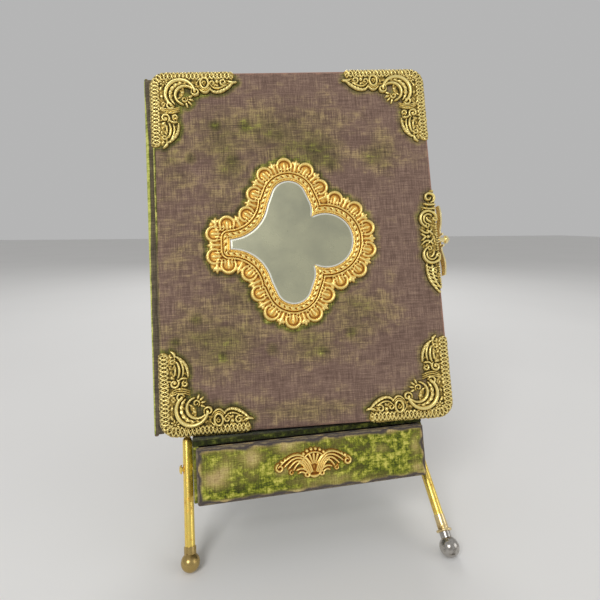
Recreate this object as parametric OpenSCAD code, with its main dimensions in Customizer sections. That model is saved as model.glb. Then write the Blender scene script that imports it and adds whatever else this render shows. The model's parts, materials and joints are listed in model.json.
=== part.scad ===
// Velvet photograph album that leans back on a folding brass stand with a drawer.
// In the album's own frame x runs from the spine hinge to the fore edge, y from the
// front cover to the back, and z up the covers. A cover board has its own flat frame:
// x across, y up, and z from the inner face to the outer face.

/* [Album] */
// Width of a cover board
cover_w = 215; // [190:1:260]
// Height of a cover board
cover_h = 275; // [230:1:330]
// Thickness of a padded cover board
cover_t = 7; // [6:0.5:10]
// Rounding of a cover's four corners
cover_corner_r = 11; // [6:0.5:16]
// Rounding of a cover's outer edges
cover_edge_r = 3; // [1.5:0.25:4]
// Groove between the spine and a cover board
joint_gap = 3.3; // [2.5:0.1:5]
// Thickness of the cloth that bridges the groove
joint_cloth_t = 0.8; // [0.4:0.1:1]
// Thickness of the spine at its long edges
spine_t = 2.2; // [1.5:0.1:4]
// How far the spine bows out at its middle
spine_bow = 1.6; // [0.8:0.1:4]
// Clearance between the spine and what hinges on it
hinge_clear = 0.5; // [0.3:0.05:0.8]
// Angle at which the swollen leaves hold the front cover
wedge = 8.3; // [5:0.1:11]

/* [Leaves] */
// Number of card leaves
leaf_count = 10; // [6:1:12]
// Thickness of a leaf
leaf_t = 2.6; // [1.6:0.1:2.8]
// Distance from one leaf's root to the next
leaf_pitch = 3.4; // [3.2:0.1:4.4]
// Room between the end leaves and the covers at the root
root_room = 1.5; // [1:0.1:4]
// Width of the linen guard between a leaf's root and its card
guard_w = 24; // [22:0.5:32]
// Thickness of the linen guard
guard_t = 0.4; // [0.2:0.05:0.45]
// Distance from the leaves to the covers' top and bottom edges
leaf_inset = 6; // [4:0.5:12]
// Distance from the leaves to the covers' fore edge
fore_inset = 12; // [8:0.5:18]
// Width of a photo window
window_w = 108; // [80:1:130]
// Height of a photo window up to the spring of its arch
window_h = 130; // [90:1:150]
// Depth of a photo window
window_depth = 0.5; // [0.3:0.05:0.7]

/* [Brass mounts] */
// Thickness of the pressed brass
brass_t = 1.2; // [0.8:0.1:1.8]
// Reach of a corner mount along the top or bottom edge
corner_reach_x = 63; // [52:1:70]
// Reach of a corner mount along the side edge
corner_reach_y = 60; // [52:1:70]
// Width of a corner mount's arms
corner_arm_w = 17; // [14:0.5:22]
// Radius of the large C-scroll on a corner mount
corner_scroll_r = 10; // [7:0.5:11]
// Thickness of the raised scrolls
scroll_wire_r = 1.8; // [1:0.1:2.2]

/* [Mirror] */
// Mirror centre from the cover's spine-side edge
mirror_x = 101; // [95:1:120]
// Mirror centre from the cover's bottom edge
mirror_y = 137.5; // [115:0.5:165]
// Radius of the top and bottom lobes at their tips
lobe_tip_r = 14.5; // [13:0.5:16]
// Distance of the lobe tips' centres from the mirror centre
lobe_tip = 33.8; // [32:0.2:36]
// Radius of the top and bottom lobes at their roots
lobe_root_r = 18.2; // [17.4:0.1:19.5]
// Distance of the lobe roots' centres from the mirror centre
lobe_root = 24; // [22:0.5:25.5]
// Radius of the fore-edge lobe
side_lobe_r = 22; // [19:0.5:25]
// Distance of the fore-edge lobe's centre from the mirror centre
side_lobe_out = 26.5; // [22:0.5:28]
// Radius of the hollow curves beside the narrow arm
flare_r = 29.2; // [28:0.1:30]
// Reach of the narrow arm from the mirror centre
arm_reach = 46.5; // [42:0.5:50]
// Half the height of the narrow arm's end
arm_end = 4.8; // [4:0.1:7]
// Thickness of the mirror glass
glass_t = 2; // [1.5:0.1:3]
// Width of the glass that the frame covers
glass_lip = 1.6; // [1:0.1:2.5]
// Width of the rope moulding round the glass
rope_w = 4.6; // [3.5:0.1:6]
// Height of the rope moulding above the cover
rope_h = 4.6; // [4:0.1:6]
// Width of the pressed plate outside the rope moulding
frame_band = 8.4; // [6:0.1:10]
// Radius of a shell scroll on the frame's rim
shell_r = 5; // [4:0.1:6]

/* [Clasp] */
// Height of the clasp above the covers' bottom edge
clasp_z = 135; // [110:1:160]
// Width of the clasp plate on the cover's face
clasp_plate_w = 15; // [12:0.5:20]
// Half the height of the clasp plate
clasp_plate_half = 39; // [34:0.5:46]
// Thickness of the hasp
hasp_t = 1.2; // [0.8:0.1:1.6]
// Half the height of the hasp's strap
strap_half = 8; // [7:0.5:10]
// Half the height of the hasp's bow
bow_half = 28; // [24:0.5:32]
// Distance that the hasp reaches in front of the stud's middle
bow_lead = 0.6; // [0.2:0.1:2]
// Radius of the hasp's hinge pin
hasp_pin_r = 0.9; // [0.7:0.05:1.1]
// Radius of a hinge knuckle
knuckle_r = 1.8; // [1.6:0.1:2.2]
// Gap between the hinge knuckles
knuckle_gap = 0.3; // [0.2:0.05:0.5]
// Half the height of the hasp's hinge
hasp_hinge_half = 16; // [13:0.5:20]
// Radius of the stud's shank
stud_r = 1.7; // [1.2:0.1:2]
// Radius of the stud's knob
knob_r = 3.2; // [2.8:0.1:3.8]
// Length of the stud's knob
knob_len = 4.2; // [3:0.1:6]
// Room between the stud and the hasp's fork
fork_room = 0.5; // [0.4:0.05:0.8]

/* [Drawer and case] */
// Angle at which the album leans back
lean = 16; // [10:0.5:20]
// Half the width of the drawer case
case_half = 87; // [78:0.5:95]
// Height of the drawer case
case_h = 42.2; // [38:0.2:50]
// Gap between the covers' bottom edge and the case
case_gap = 1.8; // [1.6:0.1:3]
// Thickness of the case's top board
case_top_t = 4.2; // [3:0.1:6]
// Thickness of the case's sides
case_side_t = 4.5; // [4:0.1:6]
// Thickness of the case's bottom board
case_bottom_t = 3.5; // [2.5:0.1:5]
// Distance of the drawer front's face in front of the spine-side cover edge
drawer_out = 20; // [14:0.5:26]
// Thickness of the drawer front
drawer_front_t = 6.7; // [5:0.1:8]
// Distance from each end of the drawer front to the case's outer side
drawer_front_inset = 2.5; // [1:0.25:6]
// Thickness of the drawer's sides and back
drawer_wall = 3; // [2:0.1:4]
// Thickness of the drawer's bottom
drawer_bottom_t = 2.4; // [1.5:0.1:3.5]
// Height of the drawer's sides
drawer_side_h = 27; // [20:0.5:29]
// Running clearance round the drawer
drawer_clear = 0.3; // [0.2:0.05:0.5]
// Gap between the drawer's back and the easel board
drawer_end_gap = 2; // [1:0.5:5]
// Width of the drawer ornament
ornament_w = 56; // [48:1:62]
// Offset of the drawer ornament from the drawer's centre
ornament_shift = -3; // [-6:0.5:6]

/* [Easel board] */
// Thickness of the easel board
easel_t = 5; // [4:0.5:8]
// Distance of the easel board's edges inside the case's sides
easel_inset = 1.5; // [1:0.1:4]
// Height of the easel board's shoulders above the covers' bottom edge
easel_shoulder = 165; // [150:1:180]
// Half the width of the easel board's round top
easel_top_r = 42; // [30:1:48]

/* [Legs] */
// Height of the covers' front bottom edge above the floor
stand_rise = 86.5; // [80:0.5:95]
// Radius of a leg's brass tube
leg_r = 3.5; // [3:0.1:3.7]
// Length of a leg above its bolt
leg_top = 19.5; // [11:0.5:20]
// Angle of the left leg forward of upright
left_splay = 29.7; // [20:0.1:35]
// Angle of the right leg forward of upright
right_splay = 47.8; // [40:0.1:52]
// Distance of the leg bolts behind the case's front edge
bolt_back = 23; // [18:0.5:30]
// Distance of the leg bolts below the covers' bottom edge
bolt_drop = 26; // [23:0.5:30]
// Radius of a leg bolt
bolt_r = 1.6; // [1.2:0.1:2]
// Depth of a leg bolt in the case side
bolt_hold = 3.5; // [2.5:0.1:3.8]
// Radius of a leg bolt's head
bolt_head_r = 3.3; // [2.6:0.1:4]
// Height of a leg bolt's head
bolt_head_h = 2; // [1.4:0.1:3]
// Gap between a leg and the case, and between a leg and its bolt head
leg_gap = 0.8; // [0.6:0.05:1.2]
// Radial clearance of a turning fit
turn_fit = 0.05; // [0.03:0.01:0.08]
// Radial clearance of a fixed pin in its hole
pin_fit = 0.02; // [0.01:0.01:0.04]
// Radius of the brass ball feet
foot_r = 6.5; // [5.5:0.1:6.8]
// Radius of the collar above a brass ball foot
foot_collar_r = 4.2; // [4:0.1:5]
// Height of the collar above a brass ball foot
foot_collar_h = 3.5; // [2:0.1:6]
// Radius of the right leg's replaced steel ball
steel_ball_r = 7; // [6:0.1:7.2]
// Length of the right foot's neck above its ball
neck_len = 2.8; // [2:0.1:6]
// Length of the ferrule on the right leg
ferrule_len = 11.5; // [7:0.5:14]
// Radius of the ferrule on the right leg
ferrule_r = 3.9; // [3.8:0.1:4.6]
// Radius of the ring at the ferrule's lower end
ring_r = 5.7; // [5:0.1:6.2]
// Height of the ring at the ferrule's lower end
ring_h = 1.8; // [1.2:0.1:2.5]
// Depth of the flat worn under each ball
foot_flat = 0.5; // [0.3:0.1:0.8]

/* [Rear bail] */
// Height of the bail's hinge above the covers' bottom edge
bail_z = 100; // [85:1:115]
// Distance of the bail's hinge behind the easel board
bail_offset = 8.6; // [7.8:0.1:12]
// Angle between the easel board and the open bail
bail_open = 26.4; // [22:0.1:30]
// Half the distance between the bail's struts
bail_half = 60; // [50:1:70]
// Radius of the bail's bar and struts
bail_r = 2.7; // [2.3:0.1:3]
// Radius of the eyes on the struts
eye_r = 4.6; // [4.2:0.1:5.5]
// Width of the eyes on the struts
eye_w = 7; // [5:0.5:9]
// Half the distance between the bail's brackets
bracket_half = 38; // [30:1:44]
// Width of a bracket's plate
bracket_w = 12; // [9:0.5:16]
// Height of a bracket's plate
bracket_h = 26; // [20:0.5:34]
// Thickness of a bracket's plate
bracket_t = 1.6; // [1.2:0.1:2.5]

/* [Hidden] */
$fn = 48;
// Longer than any piece, and how far a cut runs past a face
far = 1000;
past = 1;

// Places in the album's frame
board_end = joint_gap + cover_w;
middle_x = joint_gap + cover_w / 2;
album_t = 2 * cover_t + leaf_count * leaf_pitch + 2 * root_room;
spine_out = hinge_clear + spine_t + spine_bow;
leaf_len = board_end - fore_inset;
leaf_h = cover_h - 2 * leaf_inset;
case_top_z = -case_gap;
case_bottom_z = case_top_z - case_h;
case_front_y = -drawer_out + drawer_front_t + drawer_clear;
easel_back_y = album_t + easel_t;
bolt_y = case_front_y + bolt_back;
bail_y = easel_back_y + bail_offset;

// Height above the floor and depth of a point of the album's frame
function floor_z(y, z) = stand_rise - y * sin(lean) + z * cos(lean);
function deep_y(y, z) = y * cos(lean) + z * sin(lean);

// Legs, from bolt or hinge to the middle of the ball
bolt_up = floor_z(bolt_y, -bolt_drop);
left_len = (bolt_up - foot_r + foot_flat) / cos(left_splay);
right_len = (bolt_up - steel_ball_r + foot_flat) / cos(right_splay);
bail_tilt = bail_open - lean;
bail_len = (floor_z(bail_y, bail_z) - foot_r + foot_flat) / cos(bail_tilt);
leg_out = case_half + leg_gap + leg_r;

right_rod_len = right_len - steel_ball_r - neck_len - ferrule_len;

// Drawer: half its width, its floor, its front end and its length behind the front
drawer_half = case_half - drawer_front_inset;
drawer_x = case_half - case_side_t - drawer_clear;
drawer_z = case_bottom_z + case_bottom_t + drawer_clear;
drawer_y = -drawer_out + drawer_front_t;
drawer_len = album_t - drawer_end_gap - drawer_y;

// Clasp: the hasp's plane and the stud's place in it
hasp_x = board_end + brass_t + knuckle_r;
hasp_hinge_y = album_t - cover_t + knuckle_r + brass_t;
stud_depth = -cover_t / 2;
stud_cross = (hasp_x - stud_depth * sin(wedge)) / cos(wedge);
stud_y = cover_t - stud_cross * sin(wedge) + stud_depth * cos(wedge);
knob_start = stud_cross + hasp_t / 2 + fork_room + knob_r * tan(wedge);
knob_tip = knob_start + knob_len;
fork_half = knob_r + fork_room;
bow_front = stud_y - bow_lead;

// How far a mirror lobe's straight flank ends inside its round ends, as a share
flank_tuck = 0.985;

// Scallops of the clasp plate's inner edge, as shares of its half height
clasp_scallops = [-0.36, 0.12, 0.4];
clasp_shoulders = [-0.68, 0.7];
clasp_tips = [-0.88, 0.86];

// Origin: under the middle of the whole object's box, on the floor
right_x = knob_tip * cos(wedge) + stud_depth * sin(wedge);
front_y = min(deep_y(bolt_y, -bolt_drop) - right_len * sin(right_splay) - steel_ball_r,
              deep_y(-drawer_out, case_bottom_z));
back_y = max(deep_y(album_t, cover_h),
             deep_y(bail_y, bail_z) + bail_len * sin(bail_tilt) + foot_r);
shift = [(spine_out - right_x) / 2, -(front_y + back_y) / 2, 0];

leaf_names = [for (i = [1:leaf_count]) str("leaf_", i)];

// Frames

module floor_place() {
  translate(shift) children();
}

module album_place() {
  floor_place() translate([0, 0, stand_rise]) rotate([-lean, 0, 0]) children();
}

module front_board_place() {
  album_place() translate([0, cover_t, 0]) rotate([0, 0, -wedge])
    translate([joint_gap, 0, 0]) rotate([90, 0, 0]) children();
}

module back_board_place() {
  album_place() translate([joint_gap, album_t - cover_t, 0]) mirror([0, 1, 0])
    rotate([90, 0, 0]) children();
}

// A leg hangs from its bolt at the origin; side is -1 at the left and 1 at the right
module leg_place(side, splay) {
  floor_place()
    translate([middle_x + side * leg_out, deep_y(bolt_y, -bolt_drop), bolt_up])
      rotate([-splay, 0, 0]) children();
}

module bail_place() {
  floor_place() translate([middle_x, deep_y(bail_y, bail_z), floor_z(bail_y, bail_z)])
    rotate([bail_tilt, 0, 0]) children();
}

module drawer_place() {
  album_place() translate([middle_x, 0, 0]) children();
}

// Covers

module round_rect(w, h, r) {
  translate([r, 0]) square([w - 2 * r, h]);
  translate([0, r]) square([w, h - 2 * r]);
  for (x = [r, w - r], y = [r, h - r]) translate([x, y]) circle(r);
}

// Outline of a board's cross-section: flat inside, with round outer edges
module board_section(w, grow) {
  r = cover_edge_r + grow;
  translate([-grow, 0]) square([w + 2 * grow, cover_t + grow - r]);
  translate([-grow + r, 0]) square([w + 2 * grow - 2 * r, cover_t + grow]);
  for (x = [r - grow, w + grow - r]) translate([x, cover_t + grow - r]) circle(r);
}

// A cover board, or the same form grown for the brass that wraps it
module board_form(grow = 0) {
  intersection() {
    translate([-grow, -grow, 0]) linear_extrude(cover_t + grow)
      round_rect(cover_w + 2 * grow, cover_h + 2 * grow, cover_corner_r + grow);
    translate([0, cover_h + grow, 0]) rotate([90, 0, 0])
      linear_extrude(cover_h + 2 * grow) board_section(cover_w, grow);
    translate([-grow, 0, 0]) rotate([90, 0, 90])
      linear_extrude(cover_w + 2 * grow) board_section(cover_h, grow);
  }
}

module front_cover() {
  color("#6b5648") {
    front_board_place() {
      board_form();
      translate([-joint_gap - hinge_clear / 2, 0, -joint_cloth_t / 2])
        cube([joint_gap + hinge_clear / 2 + cover_edge_r, cover_h, joint_cloth_t]);
    }
  }
}

module back_cover() {
  color("#6b5648") back_board_place() {
    board_form();
    translate([-joint_gap - hinge_clear, 0, 0])
      cube([joint_gap + hinge_clear + cover_edge_r, cover_h, joint_cloth_t]);
  }
}

// The spine stands clear of the front joint and runs to the back of the album
module spine() {
  start = cover_t + hinge_clear + joint_cloth_t / 2;
  depth = album_t - start;
  bow_r = (depth * depth / 4 + spine_bow * spine_bow) / (2 * spine_bow);
  color("#55624a") album_place() translate([-spine_out, start, 0])
    linear_extrude(cover_h) intersection() {
      square([spine_t + spine_bow, depth]);
      translate([bow_r, depth / 2]) circle(bow_r, $fn = 720);
    }
}

// Leaves, counted from the front cover

module window_outline() {
  translate([-window_w / 2, 0]) square([window_w, window_h]);
  translate([0, window_h]) intersection() {
    translate([-window_w / 2, 0]) square([window_w, window_w]);
    translate([0, -window_w / 6]) circle(norm([window_w / 2, window_w / 6]));
  }
}

module window_cut() {
  arch = norm([window_w / 2, window_w / 6]) - window_w / 6;
  translate([(guard_w + leaf_len) / 2, 0, (cover_h - window_h - arch) / 2])
    rotate([90, 0, 0]) linear_extrude(2 * window_depth, center = true) window_outline();
}

module leaf(i) {
  root = cover_t + root_room + (i - 0.5) * leaf_pitch;
  fan = wedge * (leaf_count + 1 - i) / (leaf_count + 1);
  color("#d8c9a3") album_place() translate([0, root, 0]) rotate([0, 0, -fan])
    difference() {
      union() {
        translate([guard_w, -leaf_t / 2, leaf_inset])
          cube([leaf_len - guard_w, leaf_t, leaf_h]);
        translate([-hinge_clear / 2, -guard_t / 2, leaf_inset])
          cube([guard_w + hinge_clear, guard_t, leaf_h]);
      }
      for (face = [-1, 1]) translate([0, face * leaf_t / 2, 0]) window_cut();
    }
}

// Pressed brass that wraps the front cover's edges

module wrapped_brass() {
  skirt = cover_t / 4;
  intersection() {
    difference() {
      board_form(brass_t);
      board_form(0);
    }
    translate([0, 0, skirt]) linear_extrude(cover_t + brass_t) children();
  }
}

// Keeps what stands above the middle of the pressed brass
module above_face() {
  intersection() {
    children();
    translate([-far / 2, -far / 2, cover_t + brass_t / 2]) cube([far, far, far]);
  }
}

// A raised scroll: part of a ring that ends in round eyes
module scroll_ring(r, wire, start, sweep) {
  scroll_eye = wire * 1.45;
  rotate([0, 0, start]) rotate_extrude(angle = sweep) translate([r, 0]) circle(wire);
  for (a = [start, start + sweep]) rotate([0, 0, a]) translate([r, 0, 0]) sphere(scroll_eye);
}

// Outline of a mount from the corner: two arms with a lobed inner edge
module corner_outline() {
  arm = corner_arm_w;
  end_r = arm / 2;
  lap = 2 * brass_t;
  elbow_at = arm + 2;
  elbow_r = arm * 0.62;
  tip_at = arm * 1.55;
  tip_r = arm * 0.32;
  bulge_in = arm * 0.62;
  bulge_r = arm * 0.52;
  translate([-lap, -lap]) {
    square([corner_reach_x - end_r, arm]);
    square([arm, corner_reach_y - end_r]);
    translate([corner_reach_x - end_r, end_r]) circle(end_r);
    translate([end_r, corner_reach_y - end_r]) circle(end_r);
  }
  translate([elbow_at, elbow_at]) circle(elbow_r);
  translate([tip_at, tip_at]) circle(tip_r);
  for (along = [arm * 1.9, arm * 2.55]) {
    translate([along, bulge_in]) circle(bulge_r);
    translate([bulge_in, along]) circle(bulge_r);
  }
}

// Large scroll in the bend, smaller scrolls on the arms and a row of beads by the edge
module corner_relief() {
  arm = corner_arm_w;
  wire = scroll_wire_r;
  thin = wire * 0.85;
  fine = wire * 0.8;
  face = cover_t + brass_t;
  bend = arm * 1.2;
  bead_r = wire * 1.3;
  bead_first = arm * 0.35;
  bead_step = arm * 0.42;
  bead_last = arm * 2.9;
  translate([bend, bend, face]) scroll_ring(corner_scroll_r, wire, 62, 326);
  translate([bend, bend, face]) scroll_ring(corner_scroll_r / 2, fine, 70, 220);
  for (swap = [0, 1]) mirror([swap, -swap, 0]) {
    translate([arm * 2.2, arm * 0.55, face]) scroll_ring(arm * 0.24, thin, 20, 280);
    translate([arm * 2.85, arm * 0.7, face]) scroll_ring(arm * 0.3, thin, 150, 210);
    for (along = [bead_first:bead_step:bead_last])
      translate([along, arm * 0.16, face - wire * 0.5]) sphere(bead_r);
  }
}

module corner_mount(flip_x, flip_y) {
  color("#b08d3c") front_board_place()
    translate([flip_x ? cover_w : 0, flip_y ? cover_h : 0, 0])
      mirror([flip_x ? 1 : 0, 0, 0]) mirror([0, flip_y ? 1 : 0, 0]) {
        wrapped_brass() corner_outline();
        above_face() corner_relief();
      }
}

module corner_bottom_left() { corner_mount(false, false); }
module corner_bottom_right() { corner_mount(true, false); }
module corner_top_left() { corner_mount(false, true); }
module corner_top_right() { corner_mount(true, true); }

// Mirror

module mirror_place() {
  front_board_place() translate([mirror_x, mirror_y, cover_t]) children();
}

// A lobe that narrows from its root to its tip
module narrow_lobe(grow) {
  slant = asin((lobe_root_r - lobe_tip_r) / (lobe_tip - lobe_root));
  root = (lobe_root_r + grow) * flank_tuck;
  tip = (lobe_tip_r + grow) * flank_tuck;
  translate([0, lobe_root]) circle(lobe_root_r + grow, $fn = 72);
  translate([0, lobe_tip]) circle(lobe_tip_r + grow, $fn = 72);
  polygon([
    [-root * cos(slant), lobe_root + root * sin(slant)],
    [root * cos(slant), lobe_root + root * sin(slant)],
    [tip * cos(slant), lobe_tip + tip * sin(slant)],
    [-tip * cos(slant), lobe_tip + tip * sin(slant)]
  ]);
}

// Three lobes and a narrow arm with hollow flanks
module lobed_outline(grow) {
  end = arm_end + grow;
  waist = lobe_root + lobe_root_r * 0.22;
  difference() {
    union() {
      for (s = [0, 1]) mirror([0, s]) narrow_lobe(grow);
      translate([side_lobe_out, 0]) circle(side_lobe_r + grow, $fn = 72);
      polygon([
        [-arm_reach, -waist], [0, -waist], [side_lobe_out, 0], [0, waist], [-arm_reach, waist]
      ]);
    }
    for (s = [-1, 1])
      translate([-arm_reach, s * (flare_r + arm_end)]) circle(flare_r - grow, $fn = 72);
  }
  translate([-arm_reach - grow, -end]) square([arm_reach / 2 + grow, 2 * end]);
}

// A pressed shell: a low dome with a raised rim
module rim_shell() {
  rim_at = shell_r * 0.72;
  rim_r = shell_r * 0.24;
  rotate_extrude() {
    square([shell_r, brass_t]);
    translate([rim_at, brass_t]) circle(rim_r);
    translate([rim_at - rim_r, 0]) square([2 * rim_r, brass_t]);
  }
}

// Shells along the rim: round each lobe, along the hollow flanks and at the arm's end
module rim_shells() {
  out = rope_w + frame_band;
  arm_shell = arm_end + out * 0.62;
  lobe_turns = [18:28:186];
  side_turns = [14, 46];
  flank_turns = [-78, -38];
  for (s = [-1, 1]) {
    translate([0, s * lobe_tip, 0]) for (a = lobe_turns)
      rotate([0, 0, s * a]) translate([lobe_tip_r + out, 0, 0]) rim_shell();
    translate([side_lobe_out, 0, 0]) for (a = side_turns)
      rotate([0, 0, s * a]) translate([side_lobe_r + out, 0, 0]) rim_shell();
    translate([-arm_reach, s * (flare_r + arm_end), 0]) for (a = flank_turns)
      rotate([0, 0, s * a]) translate([flare_r - out, 0, 0]) rim_shell();
    translate([-arm_reach - out, s * arm_shell, 0]) rim_shell();
  }
  translate([-arm_reach - out, 0, 0]) rim_shell();
}

module mirror_frame() {
  color("#b8913f") mirror_place() difference() {
    union() {
      linear_extrude(rope_h) lobed_outline(rope_w);
      linear_extrude(glass_t) lobed_outline(rope_w + frame_band);
      rim_shells();
    }
    translate([0, 0, -past]) linear_extrude(rope_h + 2 * past) lobed_outline(0);
    translate([0, 0, -past]) linear_extrude(past + glass_t) lobed_outline(glass_lip);
  }
}

module mirror_glass() {
  color("#aeb8b0") mirror_place() linear_extrude(glass_t) lobed_outline(glass_lip);
}

// Clasp

module clasp_outline() {
  w = clasp_plate_w;
  half = clasp_plate_half;
  body_half = half * 0.62;
  inset = w * 0.35;
  translate([cover_w, clasp_z]) {
    translate([-inset, -body_half]) square([w, 2 * body_half]);
    for (y = clasp_scallops) translate([-inset, half * y]) circle(w - inset);
    for (y = clasp_shoulders) translate([-w * 0.2, half * y]) circle(w * 0.45);
    for (y = clasp_tips) translate([-w * 0.08, half * y]) circle(half * 0.12);
  }
}

module clasp_relief() {
  w = clasp_plate_w;
  wire = scroll_wire_r * 0.7;
  translate([cover_w, clasp_z, cover_t + brass_t]) {
    for (y = clasp_scallops) translate([-w * 0.4, clasp_plate_half * y, 0])
      scroll_ring(w * 0.2, wire, 97, 256);
    for (y = clasp_shoulders) translate([-w * 0.24, clasp_plate_half * y, -wire / 2])
      sphere(w * 0.16);
  }
}

module clasp_plate() {
  color("#b8913f") front_board_place() {
    wrapped_brass() clasp_outline();
    above_face() clasp_relief();
  }
}

module clasp_stud() {
  seat = board_end + brass_t;
  knob_at = knob_start - seat;
  color("#c9a24a") front_board_place()
    translate([-joint_gap + seat, clasp_z, -stud_depth]) rotate([0, 90, 0])
      rotate_extrude() polygon([
        [0, 0], [stud_r * 1.7, 0], [stud_r, stud_r], [stud_r, knob_at],
        [knob_r, knob_at], [knob_r, knob_at + knob_len * 0.35],
        [knob_r * 0.45, knob_at + knob_len * 0.72], [0, knob_at + knob_len]
      ]);
}

// One wing of the hasp's bow: a crescent with its tip at the top
module hasp_wing(reach) {
  wing_r = bow_half * 0.78;
  wing_up = bow_half * 0.71;
  hollow_r = wing_r * 0.93;
  hollow_back = hollow_r + strap_half * 0.68;
  intersection() {
    translate([reach - strap_half / 2, 0]) circle(bow_half, $fn = 72);
    difference() {
      translate([reach - wing_r, wing_up]) circle(wing_r, $fn = 72);
      translate([reach - hollow_back, wing_up * 1.1]) circle(hollow_r, $fn = 72);
    }
    translate([0, strap_half / 2]) square([reach, bow_half]);
  }
}

// The hasp in its own plane: x forward from the hinge, y up
module hasp_outline() {
  reach = hasp_hinge_y - bow_front;
  neck_half = strap_half * 0.6;
  neck_end = reach * 0.55;
  strap_at = reach * 0.45;
  strap_len = reach - strap_at - strap_half * 0.4;
  boss_r = strap_half * 1.3;
  prong_half = fork_half + stud_r;
  difference() {
    union() {
      translate([0, -neck_half]) square([neck_end, 2 * neck_half]);
      translate([strap_at, -strap_half]) square([strap_len, 2 * strap_half]);
      translate([strap_at, -prong_half]) square([reach - strap_at, 2 * prong_half]);
      translate([reach / 2, 0]) circle(boss_r);
      for (s = [0, 1]) mirror([0, s]) hasp_wing(reach);
    }
    translate([hasp_hinge_y - stud_y - fork_half, -fork_half]) square([far, 2 * fork_half]);
  }
}

module hasp_place() {
  album_place() translate([hasp_x, hasp_hinge_y, clasp_z]) children();
}

module clasp_hasp() {
  third = hasp_hinge_half / 3 - knuckle_gap;
  color("#c9a24a") hasp_place() difference() {
    union() {
      rotate([90, 0, -90]) linear_extrude(hasp_t, center = true) hasp_outline();
      translate([0, 0, -third]) cylinder(r = knuckle_r, h = 2 * third);
    }
    for (s = [0, 1]) mirror([0, 0, s]) translate([-knuckle_r * 2, -knuckle_r * 2, third])
      cube([knuckle_r * 4, knuckle_r * 4, far]);
    translate([0, 0, -far / 2]) cylinder(r = hasp_pin_r + turn_fit, h = far);
  }
}

module hasp_hinge_plate() {
  third = hasp_hinge_half / 3;
  depth = cover_t - cover_edge_r - 2 * hinge_clear;
  color("#b8913f") hasp_place() difference() {
    union() {
      translate([-knuckle_r - brass_t, -knuckle_r - brass_t + hinge_clear, -hasp_hinge_half])
        cube([brass_t, depth, 2 * hasp_hinge_half]);
      for (s = [0, 1]) mirror([0, 0, s]) translate([0, 0, third]) {
        cylinder(r = knuckle_r, h = hasp_hinge_half - third);
        translate([-knuckle_r - brass_t, -knuckle_r * 0.6, 0])
          cube([knuckle_r + brass_t, knuckle_r * 1.2, hasp_hinge_half - third]);
      }
    }
    translate([0, 0, -far / 2]) cylinder(r = hasp_pin_r + pin_fit, h = far);
  }
}

module hasp_pin() {
  color("#c9a24a") hasp_place() translate([0, 0, -hasp_hinge_half])
    cylinder(r = hasp_pin_r, h = 2 * hasp_hinge_half);
}

// Easel board and drawer case

module easel_board() {
  half = case_half - easel_inset;
  color("#4a4034") drawer_place() translate([0, easel_back_y, 0]) rotate([90, 0, 0])
    linear_extrude(easel_t) {
      polygon([
        [-half, case_bottom_z], [half, case_bottom_z], [half, 0],
        [easel_top_r, easel_shoulder], [-easel_top_r, easel_shoulder], [-half, 0]
      ]);
      translate([0, easel_shoulder]) circle(easel_top_r, $fn = 72);
    }
}

module case_top() {
  color("#5c6a35") drawer_place()
    translate([-case_half, case_front_y, case_top_z - case_top_t])
      cube([2 * case_half, album_t - case_front_y, case_top_t]);
}

module case_bottom() {
  inner = case_half - case_side_t;
  color("#5c6a35") drawer_place() translate([-inner, case_front_y, case_bottom_z])
    cube([2 * inner, album_t - case_front_y, case_bottom_t]);
}

// side is -1 at the left and 1 at the right
module case_side(side) {
  color("#5c6a35") drawer_place() difference() {
    translate([side < 0 ? -case_half : case_half - case_side_t, case_front_y, case_bottom_z])
      cube([case_side_t, album_t - case_front_y, case_h - case_top_t]);
    translate([side * case_half, bolt_y, -bolt_drop]) rotate([0, -side * 90, 0])
      translate([0, 0, -past]) cylinder(r = bolt_r + pin_fit, h = bolt_hold + past);
  }
}

module case_left() { case_side(-1); }
module case_right() { case_side(1); }

// Drawer

module drawer_front() {
  top = case_top_z - case_top_t - drawer_clear;
  color("#6f7d2e") drawer_place() translate([-drawer_half, -drawer_out, case_bottom_z])
    cube([2 * drawer_half, drawer_front_t, top - case_bottom_z]);
}

module drawer_side(side) {
  color("#8a6a45") drawer_place()
    translate([side < 0 ? -drawer_x : drawer_x - drawer_wall, drawer_y, drawer_z])
      cube([drawer_wall, drawer_len, drawer_side_h]);
}

module drawer_left() { drawer_side(-1); }
module drawer_right() { drawer_side(1); }

module drawer_back() {
  inner = drawer_x - drawer_wall;
  color("#8a6a45") drawer_place()
    translate([-inner, drawer_y + drawer_len - drawer_wall, drawer_z])
      cube([2 * inner, drawer_wall, drawer_side_h]);
}

module drawer_bottom() {
  inner = drawer_x - drawer_wall;
  color("#8a6a45") drawer_place() translate([-inner, drawer_y, drawer_z])
    cube([2 * inner, drawer_len - drawer_wall, drawer_bottom_t]);
}

// One side of the drawer ornament: a leaf scroll with its volutes
module ornament_half() {
  w = ornament_w / 2;
  translate([w * 0.5, -w * 0.06]) difference() {
    circle(w * 0.34);
    translate([w * 0.04, -w * 0.3]) circle(w * 0.26);
  }
  translate([w * 0.88, -w * 0.02]) circle(w * 0.12);
  translate([w * 0.7, w * 0.08]) circle(w * 0.13);
  translate([w * 0.16, -w * 0.22]) circle(w * 0.15);
}

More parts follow.
